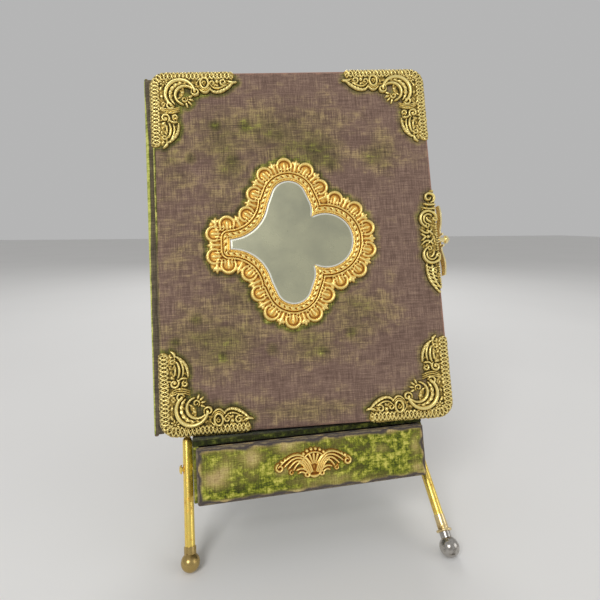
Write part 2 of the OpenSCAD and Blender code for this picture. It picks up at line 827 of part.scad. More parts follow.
// Fan crest between two leaf scrolls, with a round hole under the fan
module drawer_ornament() {
  w = ornament_w / 2;
  fan = w * 0.36;
  ball_r = w * 0.072;
  ball_turns = [10:22.8:171];
  foot = w * 0.3;
  hole_y = w * 0.05;
  hole_r = w * 0.055;
  mid_z = (case_top_z - case_top_t + case_bottom_z) / 2;
  color("#b8913f") drawer_place()
    translate([ornament_shift, -drawer_out, mid_z]) rotate([90, 0, 0]) difference() {
      union() {
        linear_extrude(brass_t) {
          for (s = [0, 1]) mirror([s, 0]) ornament_half();
          translate([0, hole_y]) circle(fan);
          translate([-foot, -foot]) square([2 * foot, foot * 1.2]);
        }
        translate([0, hole_y, 0]) for (a = ball_turns)
          rotate([0, 0, a]) translate([fan, 0, 0]) cylinder(r = ball_r, h = brass_t * 2);
        for (s = [0, 1]) mirror([s, 0, 0]) {
          translate([w * 0.16, -w * 0.22, 0]) cylinder(r = w * 0.08, h = brass_t * 2);
          translate([w * 0.88, -w * 0.02, 0]) cylinder(r = w * 0.07, h = brass_t * 1.8);
        }
      }
      translate([0, hole_y, -past]) cylinder(r = hole_r, h = far);
    }
}

// Legs and feet

module leg_rod(rod_len) {
  difference() {
    union() {
      translate([0, 0, -rod_len]) cylinder(r = leg_r, h = rod_len + leg_top);
      translate([0, 0, leg_top]) sphere(leg_r);
    }
    rotate([0, 90, 0]) cylinder(r = bolt_r + turn_fit, h = far, center = true);
  }
}

// Removes what would reach below the floor
module on_floor() {
  difference() {
    children();
    translate([-far / 2, -far / 2, -far]) cube([far, far, far]);
  }
}

// A brass ball under a collar, with the ball's centre at the origin
module ball_foot() {
  rotate_extrude() difference() {
    union() {
      circle(foot_r);
      square([foot_collar_r, foot_r + foot_collar_h]);
    }
    translate([-far, -far / 2]) square([far, far]);
  }
}

module left_leg() {
  color("#c89a3c") leg_place(-1, left_splay) leg_rod(left_len - foot_r - foot_collar_h);
}

module left_foot() {
  color("#b98b33") on_floor() leg_place(-1, left_splay) translate([0, 0, -left_len]) ball_foot();
}

module right_leg() {
  color("#c89a3c") leg_place(1, right_splay) leg_rod(right_rod_len);
}

// The ferrule ends in a round-edged ring above the foot
module right_ferrule() {
  round_r = ring_h / 2;
  color("#d9bd77") leg_place(1, right_splay) translate([0, 0, -right_rod_len - ferrule_len])
    rotate_extrude() {
      square([ferrule_r, ferrule_len]);
      square([ring_r - round_r, ring_h]);
      translate([ring_r - round_r, round_r]) circle(round_r);
    }
}

// Steel ball with a short neck
module right_foot() {
  color("#9a9a98") on_floor() leg_place(1, right_splay) translate([0, 0, -right_len])
    rotate_extrude() difference() {
      union() {
        circle(steel_ball_r);
        square([ferrule_r, steel_ball_r + neck_len]);
      }
      translate([-far, -far / 2]) square([far, far]);
    }
}

// Bolts from outside each leg into the case side
module leg_bolts() {
  head_at = leg_out + leg_r + leg_gap;
  bolt_end = case_half - bolt_hold - head_at;
  color("#a98638") drawer_place() for (s = [0, 1]) mirror([s, 0, 0])
    translate([head_at, bolt_y, -bolt_drop]) rotate([0, 90, 0]) rotate_extrude() polygon([
      [0, bolt_end], [bolt_r, bolt_end],
      [bolt_r, 0], [bolt_head_r, 0], [bolt_head_r, bolt_head_h * 0.4],
      [bolt_head_r * 0.7, bolt_head_h * 0.85], [0, bolt_head_h]
    ]);
}

// Rear bail

module rear_bar() {
  color("#c89a3c") bail_place() rotate([0, 90, 0])
    cylinder(r = bail_r, h = 2 * bail_half + eye_w, center = true);
}

module bail_strut(side) {
  color("#c89a3c") bail_place() translate([side * bail_half, 0, 0]) difference() {
    union() {
      rotate([0, 90, 0]) cylinder(r = eye_r, h = eye_w, center = true);
      translate([0, 0, -bail_len + foot_r + foot_collar_h])
        cylinder(r = bail_r, h = bail_len - foot_r - foot_collar_h);
    }
    rotate([0, 90, 0]) cylinder(r = bail_r + pin_fit, h = far, center = true);
  }
}

module rear_left_strut() { bail_strut(-1); }
module rear_right_strut() { bail_strut(1); }

module rear_feet() {
  color("#b98b33") on_floor() bail_place() for (s = [-1, 1])
    translate([s * bail_half, 0, -bail_len]) ball_foot();
}

// Brackets on the easel board that the bail's bar turns in
module bail_brackets() {
  color("#a98638") drawer_place() for (s = [-1, 1])
    translate([s * bracket_half, bail_y, bail_z]) difference() {
      union() {
        translate([-bracket_w / 2, -bail_offset, -bracket_h / 2])
          cube([bracket_w, bracket_t, bracket_h]);
        translate([-bracket_w / 2, -bail_offset, -eye_r * 0.8])
          cube([bracket_w, bail_offset, eye_r * 1.6]);
        rotate([0, 90, 0]) cylinder(r = eye_r, h = bracket_w, center = true);
      }
      rotate([0, 90, 0]) cylinder(r = bail_r + turn_fit, h = far, center = true);
    }
}

front_cover();
back_cover();
spine();
corner_top_left();
corner_top_right();
corner_bottom_left();
corner_bottom_right();
mirror_frame();
mirror_glass();
clasp_plate();
clasp_stud();
clasp_hasp();
hasp_hinge_plate();
hasp_pin();
easel_board();
case_top();
case_bottom();
case_left();
case_right();
drawer_front();
drawer_left();
drawer_right();
drawer_back();
drawer_bottom();
drawer_ornament();
left_leg();
left_foot();
right_leg();
right_ferrule();
right_foot();
leg_bolts();
rear_bar();
rear_left_strut();
rear_right_strut();
rear_feet();
bail_brackets();
for (i = [1:leaf_count]) leaf(i);
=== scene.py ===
# Looks of a velvet photograph album with pressed brass mounts, on its folding stand.
# Shapes are worked out in millimetres in flat frames of their own (a cover board, the album,
# the drawer) and placed in the frame in metres when a piece is made.
import json
import math

import bmesh
import bpy
import numpy as np
from mathutils import Matrix, Vector


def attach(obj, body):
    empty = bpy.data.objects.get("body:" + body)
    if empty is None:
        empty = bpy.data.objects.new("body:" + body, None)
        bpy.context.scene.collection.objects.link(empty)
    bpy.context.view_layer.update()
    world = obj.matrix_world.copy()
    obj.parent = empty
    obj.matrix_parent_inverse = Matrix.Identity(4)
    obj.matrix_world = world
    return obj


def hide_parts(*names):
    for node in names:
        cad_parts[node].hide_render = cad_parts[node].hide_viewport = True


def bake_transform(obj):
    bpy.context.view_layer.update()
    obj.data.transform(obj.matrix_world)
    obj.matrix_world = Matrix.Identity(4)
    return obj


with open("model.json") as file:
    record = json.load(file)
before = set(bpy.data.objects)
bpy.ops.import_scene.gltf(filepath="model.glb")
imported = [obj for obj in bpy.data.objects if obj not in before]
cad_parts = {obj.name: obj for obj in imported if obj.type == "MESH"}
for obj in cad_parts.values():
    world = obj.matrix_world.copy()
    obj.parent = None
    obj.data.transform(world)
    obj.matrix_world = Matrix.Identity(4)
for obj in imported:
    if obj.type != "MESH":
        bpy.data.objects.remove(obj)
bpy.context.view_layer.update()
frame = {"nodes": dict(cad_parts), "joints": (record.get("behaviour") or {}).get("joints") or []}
nodes = frame["nodes"]
joints = {joint["name"]: joint for joint in frame["joints"]}
scene = bpy.context.scene
scene.view_settings.view_transform = "Standard"

# Driving sizes, in mm and degrees, as the CAD has them
MM = 0.001
LEAN = 16
WEDGE = 8.3
COVER_W, COVER_H, COVER_T = 215, 275, 7
COVER_CORNER_R, COVER_EDGE_R = 11, 3
JOINT_GAP = 3.3
ALBUM_T = 51
MIDDLE_X = JOINT_GAP + COVER_W / 2
SPINE_IN, SPINE_T, SPINE_BOW = 0.5, 2.2, 1.6
SPINE_START = 7.9
LEAF_COUNT, LEAF_T, LEAF_PITCH, ROOT_ROOM = 10, 2.6, 3.4, 1.5
LEAF_LEN, LEAF_H, LEAF_INSET, GUARD_W, GUARD_T = 206.3, 263, 6, 24, 0.4
WINDOW_W, WINDOW_H, WINDOW_DEPTH = 108, 130, 0.5
MIRROR_AT = (101, 137.5)
CLASP_Z = 135
CASE_HALF, CASE_TOP_Z, CASE_BOTTOM_Z = 87, -1.8, -44
CASE_TOP_T, CASE_SIDE_T, CASE_BOTTOM_T = 4.2, 4.5, 3.5
CASE_FRONT_Y = -13
DRAWER_HALF, DRAWER_OUT, DRAWER_FRONT_T = 84.5, 20, 6.7
DRAWER_TOP_Z = -6.3
ORNAMENT_SHIFT = -3
EASEL_T, BAIL_Z, BRACKET_HALF, BRACKET_T = 5, 100, 38, 1.6
FAR = 1000.0


# Frames: the cover's hinge in metres, and the others, which take points in mm to the row frame

def turned(axis, degrees):
    return Matrix.Rotation(math.radians(degrees), 4, axis)


def moved(x, y, z):
    return Matrix.Translation((x, y, z))


HINGE = Matrix.Translation(joints["cover_hinge"]["pos_m"]) @ turned("X", -LEAN)
IN_MM = Matrix.Scale(MM, 4)
ALBUM = HINGE @ IN_MM @ moved(0, -COVER_T, 0)
STAND = ALBUM @ moved(MIDDLE_X, 0, 0)
FRONT_BOARD = HINGE @ turned("Z", -WEDGE) @ IN_MM @ moved(JOINT_GAP, 0, 0) @ turned("X", 90)
BACK_BOARD = (ALBUM @ moved(JOINT_GAP, ALBUM_T - COVER_T, 0)
              @ Matrix.Scale(-1, 4, (0, 1, 0)) @ turned("X", 90))


def place(points, matrix):
    """Points of a flat frame, as rows of x, y, z, in the row frame."""
    m = np.array(matrix)
    return np.asarray(points, float) @ m[:3, :3].T + m[:3, 3]


# Camera, at the photograph's viewing angle

CAMERA_AT = (-0.0766, -0.3326, 0.2385)
CAMERA_LOOK = (0.2197, 0.9591, -0.1788)
camera_data = bpy.data.cameras.new("photo_view")
camera_data.lens = 26
camera_data.sensor_width = 36
camera_data.clip_start = 0.01
camera = bpy.data.objects.new("photo_view", camera_data)
camera.location = CAMERA_AT
camera.rotation_euler = Vector(CAMERA_LOOK).to_track_quat("-Z", "Y").to_euler()
scene.collection.objects.link(camera)
scene.camera = camera


# Shader writing

def srgb(red, green, blue):
    """A colour given in display values, 0 to 255, as a linear colour."""
    def linear(c):
        c /= 255
        return c / 12.92 if c <= 0.04045 else ((c + 0.055) / 1.055) ** 2.4
    return (linear(red), linear(green), linear(blue), 1.0)


class Sock:
    """A shader socket that takes part in arithmetic; each operation adds a Math node."""

    def __init__(self, paint, socket):
        self.paint = paint
        self.socket = socket

    def math(self, operation, *values):
        return self.paint.node("ShaderNodeMath", {"operation": operation}, dict(enumerate(values)))

    def __add__(self, other):
        return self.math("ADD", self, other)

    def __sub__(self, other):
        return self.math("SUBTRACT", self, other)

    def __rsub__(self, other):
        return self.math("SUBTRACT", other, self)

    def __mul__(self, other):
        return self.math("MULTIPLY", self, other)

    def wave(self):
        return self.math("SINE", self)

    __radd__ = __add__
    __rmul__ = __mul__


class Paint:
    """The node tree of one material."""

    def __init__(self, name):
        self.material = bpy.data.materials.new(name)
        self.material.use_nodes = True
        self.tree = self.material.node_tree
        self.tree.nodes.clear()

    def node(self, kind, settings=None, inputs=None, output=0):
        """Adds a node, with its settings and its sockets' values or links; gives one output."""
        new = self.tree.nodes.new(kind)
        for key, value in (settings or {}).items():
            if key == "stops":
                ramp = new.color_ramp
                while len(ramp.elements) < len(value):
                    ramp.elements.new(1.0)
                for element, (position, colour) in zip(ramp.elements, value):
                    element.position = position
                    element.color = colour
            else:
                setattr(new, key, value)
        for key, value in (inputs or {}).items():
            if isinstance(value, Sock):
                self.tree.links.new(value.socket, new.inputs[key])
            else:
                new.inputs[key].default_value = value
        return Sock(self, new.outputs[output]) if new.outputs else None

    def where(self):
        return self.node("ShaderNodeTexCoord", output="Object")

    def attribute(self, name, output="Fac"):
        return self.node("ShaderNodeAttribute", {"attribute_name": name}, output=output)

    def stretched(self, place_on, stretch):
        return self.node("ShaderNodeVectorMath", {"operation": "MULTIPLY"},
                         {0: place_on, 1: stretch})

    def noise(self, place_on, scale, detail=2.0, roughness=0.5):
        return self.node("ShaderNodeTexNoise", {},
                         {"Vector": place_on, "Scale": scale, "Detail": detail,
                          "Roughness": roughness})

    def step(self, value, low, high):
        return self.node("ShaderNodeMapRange", {"interpolation_type": "SMOOTHSTEP"},
                         {"Value": value, "From Min": low, "From Max": high})

    def mix(self, share, first, second):
        return self.node("ShaderNodeMix", {"data_type": "RGBA"}, {0: share, 6: first, 7: second},
                         output=2)

    def ramp(self, value, stops):
        return self.node("ShaderNodeValToRGB", {"stops": stops}, {0: value})

    def surface(self, inputs, height=None, depth=0.0):
        """The finished surface: a Principled shader, with a bump where a height is given."""
        inputs = dict(inputs)
        if height is not None:
            inputs["Normal"] = self.node(
                "ShaderNodeBump", {}, {"Strength": 1.0, "Distance": depth, "Height": height})
        shader = self.node("ShaderNodeBsdfPrincipled", {}, inputs)
        self.node("ShaderNodeOutputMaterial", {}, {"Surface": shader})
        return self.material


# Finishes

# Threads to the metre across their run, and changes of tone to the metre along it
THREADS, THREAD_CHANGES = 1500, 70


def velvet(name, bare_stops, stain_stops, pile_stops, rubbed, frayed_and_highlit, fine=1.0, thread_share=1.0):
    """Worn velvet: bare threads, a stain where the pile is thin, and the pile that is left."""
    p = Paint(name)
    weave = p.attribute("weave", "Vector")
    pile = p.attribute("pile")
    wear = p.attribute("wear")
    warp = p.noise(p.stretched(weave, (THREADS, THREAD_CHANGES, 1)), 1.0, 1.0)
    weft = p.noise(p.stretched(weave, (THREAD_CHANGES, THREADS, 1)), 1.0, 1.0)
    drift = p.noise(p.stretched(weave, (32 * fine, 62 * fine, 1)), 1.0, 4.0, 0.6) - 0.5
    mottle = p.noise(weave, 150 * fine, 3.0, 0.6) - 0.5
    fleck = p.noise(weave, 900, 2.0, 0.6) - 0.5
    grain = ((warp + weft) * 0.5 - 0.5) * (1.3 * thread_share) + fleck * 0.4
    left = pile + drift * 1.2 + mottle * (1.2 - 0.6 * thread_share) + grain * 0.35
    bare = p.ramp(grain + drift * 0.35 + mottle * 0.3 + 0.5, bare_stops)
    stained = p.ramp(grain + mottle * 0.8 + drift * 0.5 + 0.5, stain_stops)
    bare = p.mix(p.step(left, 0.05, 0.65) * 0.88, bare, stained)
    rub = p.step(wear + mottle * 0.8 + fleck * 0.6, 0.1, 0.8)
    bare = p.mix(rub, bare, rubbed)
    cover = p.step(left, 0.42, 1.0) * (1 - rub * 0.85)
    green = p.ramp(grain + mottle * 1.1 + drift * 0.9 + (left - 0.8) * 0.4 + 0.45, pile_stops)
    colour = p.mix(cover * 0.92, bare, green)
    # Where the wear is greatest the cloth shows its pale frayed backing; along the cover's fore edge
    # this pale band is also a painted highlight on the rounded edge
    colour = p.mix(p.step(wear + mottle * 0.4, 0.9, 1.05) * 0.7, colour, frayed_and_highlit)
    height = grain * 0.5 * (1 - cover) + cover * (1 + fleck * 0.9)
    return p.surface({"Base Color": colour, "Roughness": 0.9, "Sheen Weight": 0.1,
                      "Sheen Roughness": 0.45, "Specular IOR Level": 0.2}, height, 0.0004)


def pressed_brass(name, recess_patina_and_shade, body, crest_highlight, rough=0.32):
    """Gilt pressed brass: dark patina and painted shade in the hollows, a painted highlight on the
    crests, worn and specked.
    """
    p = Paint(name)
    at = p.where()
    crown = p.attribute("crown")
    patch = p.noise(at, 120, 3.0)
    grain = p.noise(at, 1500, 2.0)
    # The crown paints the hollows dark, as patina and painted shade, and the crests pale, as a
    # painted highlight
    tone = crown + (patch - 0.5) * 0.3 + (grain - 0.5) * 0.2
    colour = p.ramp(tone, [(0.16, recess_patina_and_shade), (0.46, body), (0.82, crest_highlight)])
    roughness = 0.6 - p.step(tone, 0.2, 0.8) * (0.6 - rough)
    return p.surface({"Base Color": colour, "Roughness": roughness, "Metallic": 0.72},
                     grain * 0.6 + patch * 0.4, 0.00015)


def turned_metal(name, bright, dull, stain, rough=0.22):
    """Plain metal of the legs and fittings, with tarnish and fine scratches."""
    p = Paint(name)
    at = p.where()
    patch = p.noise(at, 70, 4.0, 0.6)
    spot = p.noise(at, 420, 3.0)
    scratch = p.noise(p.stretched(at, (2600, 2600, 160)), 1.0, 1.0)
    tarnish = p.step(patch + (spot - 0.5) * 0.5, 0.48, 0.72)
    colour = p.mix(tarnish, bright, dull)
    colour = p.mix(p.step(spot + (patch - 0.5) * 0.6, 0.66, 0.8), colour, stain)
    roughness = rough + tarnish * 0.22 + (scratch - 0.5) * 0.08
    return p.surface({"Base Color": colour, "Roughness": roughness, "Metallic": 0.8},
                     scratch * 0.5 + spot * 0.3, 0.00002)


def old_mirror(name):
    """Silvered glass gone grey-green, with a haze and a few dark specks, and a painted highlight
    along its bevel.
    """
    p = Paint(name)
    at = p.where()
    haze = p.noise(at, 26, 4.0, 0.6)
    speck = p.noise(at, 900, 2.0)
    bevel = p.attribute("crown")
    colour = p.mix(p.step(haze, 0.35, 0.7), srgb(168, 168, 144), srgb(184, 183, 154))
    colour = p.mix(p.step(speck, 0.7, 0.76) * 0.5, colour, srgb(104, 104, 88))
    # Painted highlight: the bevel is painted pale
    colour = p.mix(bevel, colour, srgb(238, 240, 230))
    return p.surface({"Base Color": colour, "Roughness": 0.2 + haze * 0.12 + bevel * 0.2,
                      "Metallic": 0.55 - bevel * 0.5})


def leaf_card(name):
    """Cream card, toned and foxed, with a fine paper tooth."""
    p = Paint(name)
    at = p.where()
    tone = p.noise(at, 18, 4.0, 0.6)
    fox = p.noise(at, 160, 3.0)
    tooth = p.noise(at, 2400, 2.0)
    colour = p.mix(p.step(tone, 0.35, 0.7), srgb(226, 212, 178), srgb(208, 188, 148))
    colour = p.mix(p.step(fox, 0.66, 0.78) * 0.55, colour, srgb(150, 108, 66))
    return p.surface({"Base Color": colour, "Roughness": 0.75 + (tooth - 0.5) * 0.2},
                     tooth, 0.00008)


def gilt_edge(name):
    """Leaf gold on the edges of the card, rubbed through in places."""
    p = Paint(name)
    at = p.where()
    rub = p.step(p.noise(at, 90, 4.0, 0.65), 0.5, 0.72)
    grain = p.noise(p.stretched(at, (600, 600, 60)), 1.0, 2.0)
    colour = p.mix(rub * 0.8, srgb(214, 170, 84), srgb(176, 138, 92))
    return p.surface({"Base Color": colour, "Roughness": 0.34 + rub * 0.3,
                      "Metallic": 1 - rub * 0.7}, grain, 0.00006)


def dark_backing(name):
    """The dark paper that shows where a window has no photograph."""
    p = Paint(name)
    at = p.where()
    tone = p.noise(at, 60, 4.0)
    fibre = p.noise(at, 1800, 2.0)
    colour = p.mix(tone, srgb(70, 58, 48), srgb(98, 84, 70))
    return p.surface({"Base Color": colour, "Roughness": 0.8 + (fibre - 0.5) * 0.2}, fibre, 0.00006)


def woven_cloth(name, light, dark, fine=1500):
    """Plain woven book cloth: two thread directions and a cloudy tone."""
    p = Paint(name)
    at = p.where()
    over = p.noise(p.stretched(at, (fine, 80, 80)), 1.0, 1.0)
    under = p.noise(p.stretched(at, (80, 80, fine)), 1.0, 1.0)
    tone = p.noise(at, 40, 4.0, 0.6)
    mixed = (over + under) * 0.5 + (tone - 0.5) * 0.7
    colour = p.mix(p.step(mixed, 0.32, 0.68), dark, light)
    return p.surface({"Base Color": colour, "Roughness": 0.8 + (tone - 0.5) * 0.2},
                     over + under, 0.00012)


def endpaper(name):
    """Watered paper inside the covers."""
    p = Paint(name)
    at = p.where()
    drift = p.noise(at, 22, 3.0)
    ripple = ((p.noise(p.stretched(at, (24, 24, 6)), 1.0, 2.0) + drift * 0.4) * 90.0).wave()
    colour = p.mix(p.step(ripple, -0.9, 0.9), srgb(214, 204, 178), srgb(226, 218, 196))
    return p.surface({"Base Color": colour, "Roughness": 0.55 + ripple * 0.06}, ripple, 0.00004)


def drawer_wood(name):
    """Thin plain boards, with a straight grain along the drawer."""
    p = Paint(name)
    at = p.where()
    grain = p.noise(p.stretched(at, (60, 14, 260)), 1.0, 4.0, 0.6)
    pore = p.noise(p.stretched(at, (900, 90, 2200)), 1.0, 2.0)
    colour = p.ramp(grain, [(0.3, srgb(112, 78, 46)), (0.52, srgb(150, 110, 68)),
                            (0.75, srgb(176, 136, 90))])
    colour = p.mix(p.step(pore, 0.6, 0.75) * 0.5, colour, srgb(84, 56, 32))
    return p.surface({"Base Color": colour, "Roughness": 0.6 + (pore - 0.5) * 0.2},
                     grain + pore * 0.5, 0.0001)


# Cover velvet; its last colour, the pale frayed backing, also makes the painted highlight along the
# fore edge
COVER_VELVET = velvet(
    "cover_velvet",
    [(0.3, srgb(101, 80, 70)), (0.5, srgb(125, 101, 89)), (0.7, srgb(148, 123, 107))],
    [(0.26, srgb(74, 67, 42)), (0.5, srgb(128, 111, 78)), (0.74, srgb(178, 154, 108))],
    [(0.2, srgb(46, 47, 22)), (0.5, srgb(82, 81, 38)), (0.86, srgb(144, 146, 63)),
     (1.0, srgb(216, 210, 118))],
    srgb(172, 130, 112), srgb(210, 168, 142))
JOINT_VELVET = velvet(
    "joint_velvet",
    [(0.3, srgb(76, 68, 56)), (0.5, srgb(98, 88, 72)), (0.7, srgb(122, 110, 90))],
    [(0.3, srgb(84, 77, 52)), (0.5, srgb(112, 104, 68)), (0.7, srgb(140, 133, 84))],
    [(0.2, srgb(112, 120, 44)), (0.5, srgb(172, 178, 78)), (0.8, srgb(218, 218, 122))],
    srgb(104, 88, 80), srgb(196, 186, 140))
DRAWER_VELVET = velvet(
    "drawer_velvet",
    [(0.3, srgb(150, 128, 84)), (0.5, srgb(194, 170, 116)), (0.75, srgb(232, 212, 160))],
    [(0.3, srgb(92, 92, 34)), (0.5, srgb(152, 142, 66)), (0.72, srgb(212, 196, 120))],
    [(0.2, srgb(34, 44, 12)), (0.42, srgb(78, 92, 22)), (0.6, srgb(138, 144, 40)),
     (0.84, srgb(208, 202, 96))],
    srgb(80, 72, 70), srgb(150, 136, 104), fine=1.6, thread_share=0.5)
# Velvet of the case's top and bottom, darkened as painted shade for their place under the album's
# overhang
SHADED_CASE_VELVET = velvet(
    "case_velvet",
    [(0.3, srgb(40, 36, 28)), (0.5, srgb(56, 50, 36)), (0.75, srgb(84, 76, 50))],
    [(0.3, srgb(38, 38, 20)), (0.5, srgb(54, 54, 26)), (0.72, srgb(84, 80, 40))],
    [(0.2, srgb(26, 32, 12)), (0.5, srgb(54, 62, 22)), (0.84, srgb(112, 118, 48))],
    srgb(62, 56, 46), srgb(96, 90, 58), fine=1.6, thread_share=0.5)
# Pressed brass colours for the hollows, the body and the crests: patina with painted shade, the
# brass, and a painted highlight
GILT_MOUNT = pressed_brass("gilt_mount", srgb(62, 54, 20), srgb(188, 158, 78), srgb(250, 230, 150))
GILT_FRAME = pressed_brass("gilt_frame", srgb(146, 92, 30), srgb(224, 172, 76), srgb(255, 226, 138))
LEG_BRASS = turned_metal("leg_brass", srgb(255, 224, 116), srgb(236, 190, 86), srgb(176, 124, 52))
BALL_BRASS = turned_metal("ball_brass", srgb(184, 158, 98), srgb(146, 120, 72),
                          srgb(92, 74, 46), rough=0.24)
# Paler than the other brass: lightened as painted light for the hasp's face, which lies in the
# cover's shade
CLASP_BRASS = turned_metal("clasp_brass", srgb(252, 236, 178), srgb(230, 204, 136),
                           srgb(150, 122, 70))
PALE_BRASS = turned_metal("ferrule_brass", srgb(234, 212, 160), srgb(206, 176, 116),
                          srgb(130, 104, 62))
FOOT_STEEL = turned_metal("foot_steel", srgb(184, 180, 174), srgb(132, 126, 118),
                          srgb(80, 72, 66), rough=0.12)
MIRROR_SILVER = old_mirror("mirror_silver")
LEAF_CARD = leaf_card("leaf_card")
LEAF_GILT = gilt_edge("leaf_gilt")
LEAF_BACKING = dark_backing("leaf_backing")
GUARD_LINEN = woven_cloth("guard_linen", srgb(190, 172, 138), srgb(150, 130, 98))
EASEL_CLOTH = woven_cloth("easel_cloth", srgb(66, 54, 46), srgb(38, 30, 26), fine=1100)
ENDPAPER = endpaper("endpaper")
DRAWER_WOOD = drawer_wood("drawer_wood")


def pile_fibre(name):
    """Single tufts of the velvet's pile, from deep olive to lime."""
    p = Paint(name)
    at = p.where()
    tone = p.noise(at, 300, 3.0)
    strand = p.noise(at, 2600, 1.0)
    colour = p.ramp(tone + (strand - 0.5) * 0.5,
                    [(0.3, srgb(48, 50, 20)), (0.5, srgb(82, 86, 34)), (0.75, srgb(142, 146, 60))])
    return p.surface({"Base Color": colour, "Roughness": 0.75 + (strand - 0.5) * 0.2,
                      "Specular IOR Level": 0.2})


PILE_FIBRE = pile_fibre("pile_fibre")


# Making a piece from points and faces

def turn_out(mesh, weld=0.0):
    """Turns a mesh's faces outwards, after joining its double points where weld is given."""
    work = bmesh.new()
    work.from_mesh(mesh)
    if weld:
        bmesh.ops.remove_doubles(work, verts=work.verts, dist=weld)
    bmesh.ops.recalc_face_normals(work, faces=work.faces)
    work.to_mesh(mesh)
    work.free()
    mesh.shade_smooth()


def make_mesh(name, points, faces, materials, face_materials=None, values=None, sharp=40):
    """A mesh in the row frame, its faces turned outwards, with its point values as attributes."""
    mesh = bpy.data.meshes.new(name)
    mesh.from_pydata(np.asarray(points, float).tolist(), [], faces)
    for material in materials:
        mesh.materials.append(material)
    if face_materials is not None:
        mesh.polygons.foreach_set("material_index", np.asarray(face_materials, np.int32))
    for key, value in (values or {}).items():
        value = np.asarray(value, np.float32)
        if value.ndim == 2:
            layer = mesh.attributes.new(key, "FLOAT_VECTOR", "POINT")
            layer.data.foreach_set("vector", value.ravel())
        else:
            layer = mesh.attributes.new(key, "FLOAT", "POINT")
            layer.data.foreach_set("value", value)
    turn_out(mesh)
    mesh.set_sharp_from_angle(angle=math.radians(sharp))
    return mesh


def make_piece(name, mesh, body, replaced=()):
    piece = bpy.data.objects.new(name, mesh)
    scene.collection.objects.link(piece)
    if body:
        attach(piece, body)
    if replaced:
        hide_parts(*replaced)
    return piece


# Sheets on a grid: cloth, glass and pressed brass are cut from a flat grid by an inside
# distance, positive in the sheet, and then laid on what carries them

def grid_cells(inside):
    """Cells whose middle lies in the sheet, with single-point contacts filled."""
    cells = (inside[:-1, :-1] + inside[1:, :-1] + inside[:-1, 1:] + inside[1:, 1:]) > 0
    for _ in range(4):
        rising = cells[:-1, :-1] & cells[1:, 1:] & ~cells[1:, :-1] & ~cells[:-1, 1:]
        falling = ~cells[:-1, :-1] & ~cells[1:, 1:] & cells[1:, :-1] & cells[:-1, 1:]
        cells[1:, :-1] |= rising
        cells[:-1, :-1] |= falling
    return cells


def snap_rim(x, y, inside, cells, step):
    """Grid points with the sheet's rim moved onto its outline."""
    around = np.pad(cells.astype(int), 1)
    count = around[:-1, :-1] + around[1:, :-1] + around[:-1, 1:] + around[1:, 1:]
    rim = (count > 0) & (count < 4)
    slope_x, slope_y = np.gradient(inside, step)
    least_steep, most_steps = 0.05, 0.62
    steepness = slope_x ** 2 + slope_y ** 2 + least_steep
    limit = most_steps * step
    shift_x = np.clip(-inside * slope_x / steepness, -limit, limit)
    shift_y = np.clip(-inside * slope_y / steepness, -limit, limit)
    return x + np.where(rim, shift_x, 0), y + np.where(rim, shift_y, 0)


def cell_faces(cells):
    """Corner numbers of each cell, and the directed edges of the rim."""
    across = cells.shape[1] + 1
    i, j = np.nonzero(cells)
    quads = np.stack([i * across + j, (i + 1) * across + j,
                      (i + 1) * across + j + 1, i * across + j + 1], axis=1)
    around = np.pad(cells, 1)
    sides = (((0, 0), (1, 0), around[1:-1, :-2]), ((1, 0), (1, 1), around[2:, 1:-1]),
             ((1, 1), (0, 1), around[1:-1, 2:]), ((0, 1), (0, 0), around[:-2, 1:-1]))
    edges = []
    for (si, sj), (ei, ej), beyond in sides:
        i, j = np.nonzero(cells & ~beyond)
        edges.append(np.stack([(i + si) * across + j + sj, (i + ei) * across + j + ej], axis=1))
    return quads, np.concatenate(edges)


def double_sheet(cells, top, under):
    """Points and faces of a closed sheet: its top, its underside and its rim."""
    quads, edges = cell_faces(cells)
    used, quads = np.unique(quads, return_inverse=True)
    quads = quads.reshape(-1, 4)
    edges = np.searchsorted(used, edges)
    count = len(used)
    points = np.concatenate([top.reshape(-1, 3)[used], under.reshape(-1, 3)[used]])
    rim = np.stack([edges[:, 1], edges[:, 0], edges[:, 0] + count, edges[:, 1] + count], axis=1)
    faces = np.concatenate([quads, quads[:, ::-1] + count, rim])
    return points, faces.tolist(), used


def board_inside(u, v):
    """How far a point of a cover board lies inside its outline, and the way inwards."""
    from_x, from_y = u - COVER_W / 2, v - COVER_H / 2
    past_x = np.abs(from_x) - (COVER_W / 2 - COVER_CORNER_R)
    past_y = np.abs(from_y) - (COVER_H / 2 - COVER_CORNER_R)
    round_x, round_y = np.maximum(past_x, 0), np.maximum(past_y, 0)
    reach = np.hypot(round_x, round_y)
    inside = COVER_CORNER_R - reach - np.minimum(np.maximum(past_x, past_y), 0)
    corner = reach > 1e-6
    way_x = np.where(corner, round_x / np.maximum(reach, 1e-6), past_x > past_y)
    way_y = np.where(corner, round_y / np.maximum(reach, 1e-6), past_x <= past_y)
    return inside, -way_x * np.sign(from_x), -way_y * np.sign(from_y)


def wrap_board(u, v, lift):
    """Lays flat points on a cover board: on its face, round its edge and down its side."""
    inside, in_x, in_y = board_inside(u, v)
    past = np.maximum(COVER_EDGE_R - inside, 0)
    angle = np.minimum(past / COVER_EDGE_R, math.pi / 2)
    down = np.maximum(past - COVER_EDGE_R * math.pi / 2, 0)
    round_r = COVER_EDGE_R + lift
    inwards = COVER_EDGE_R - round_r * np.sin(angle)
    edge = past > 0
    x = np.where(edge, u + in_x * (inwards - inside), u)
    y = np.where(edge, v + in_y * (inwards - inside), v)
    z = np.where(edge, COVER_T - COVER_EDGE_R + round_r * np.cos(angle) - down, COVER_T + lift)
    return np.stack([x, y, z], axis=-1)


def smooth(value, low, high):
    """0 below low, 1 above high, and a smooth rise between."""
    share = np.clip((value - low) / (high - low), 0, 1)
    return share * share * (3 - 2 * share)


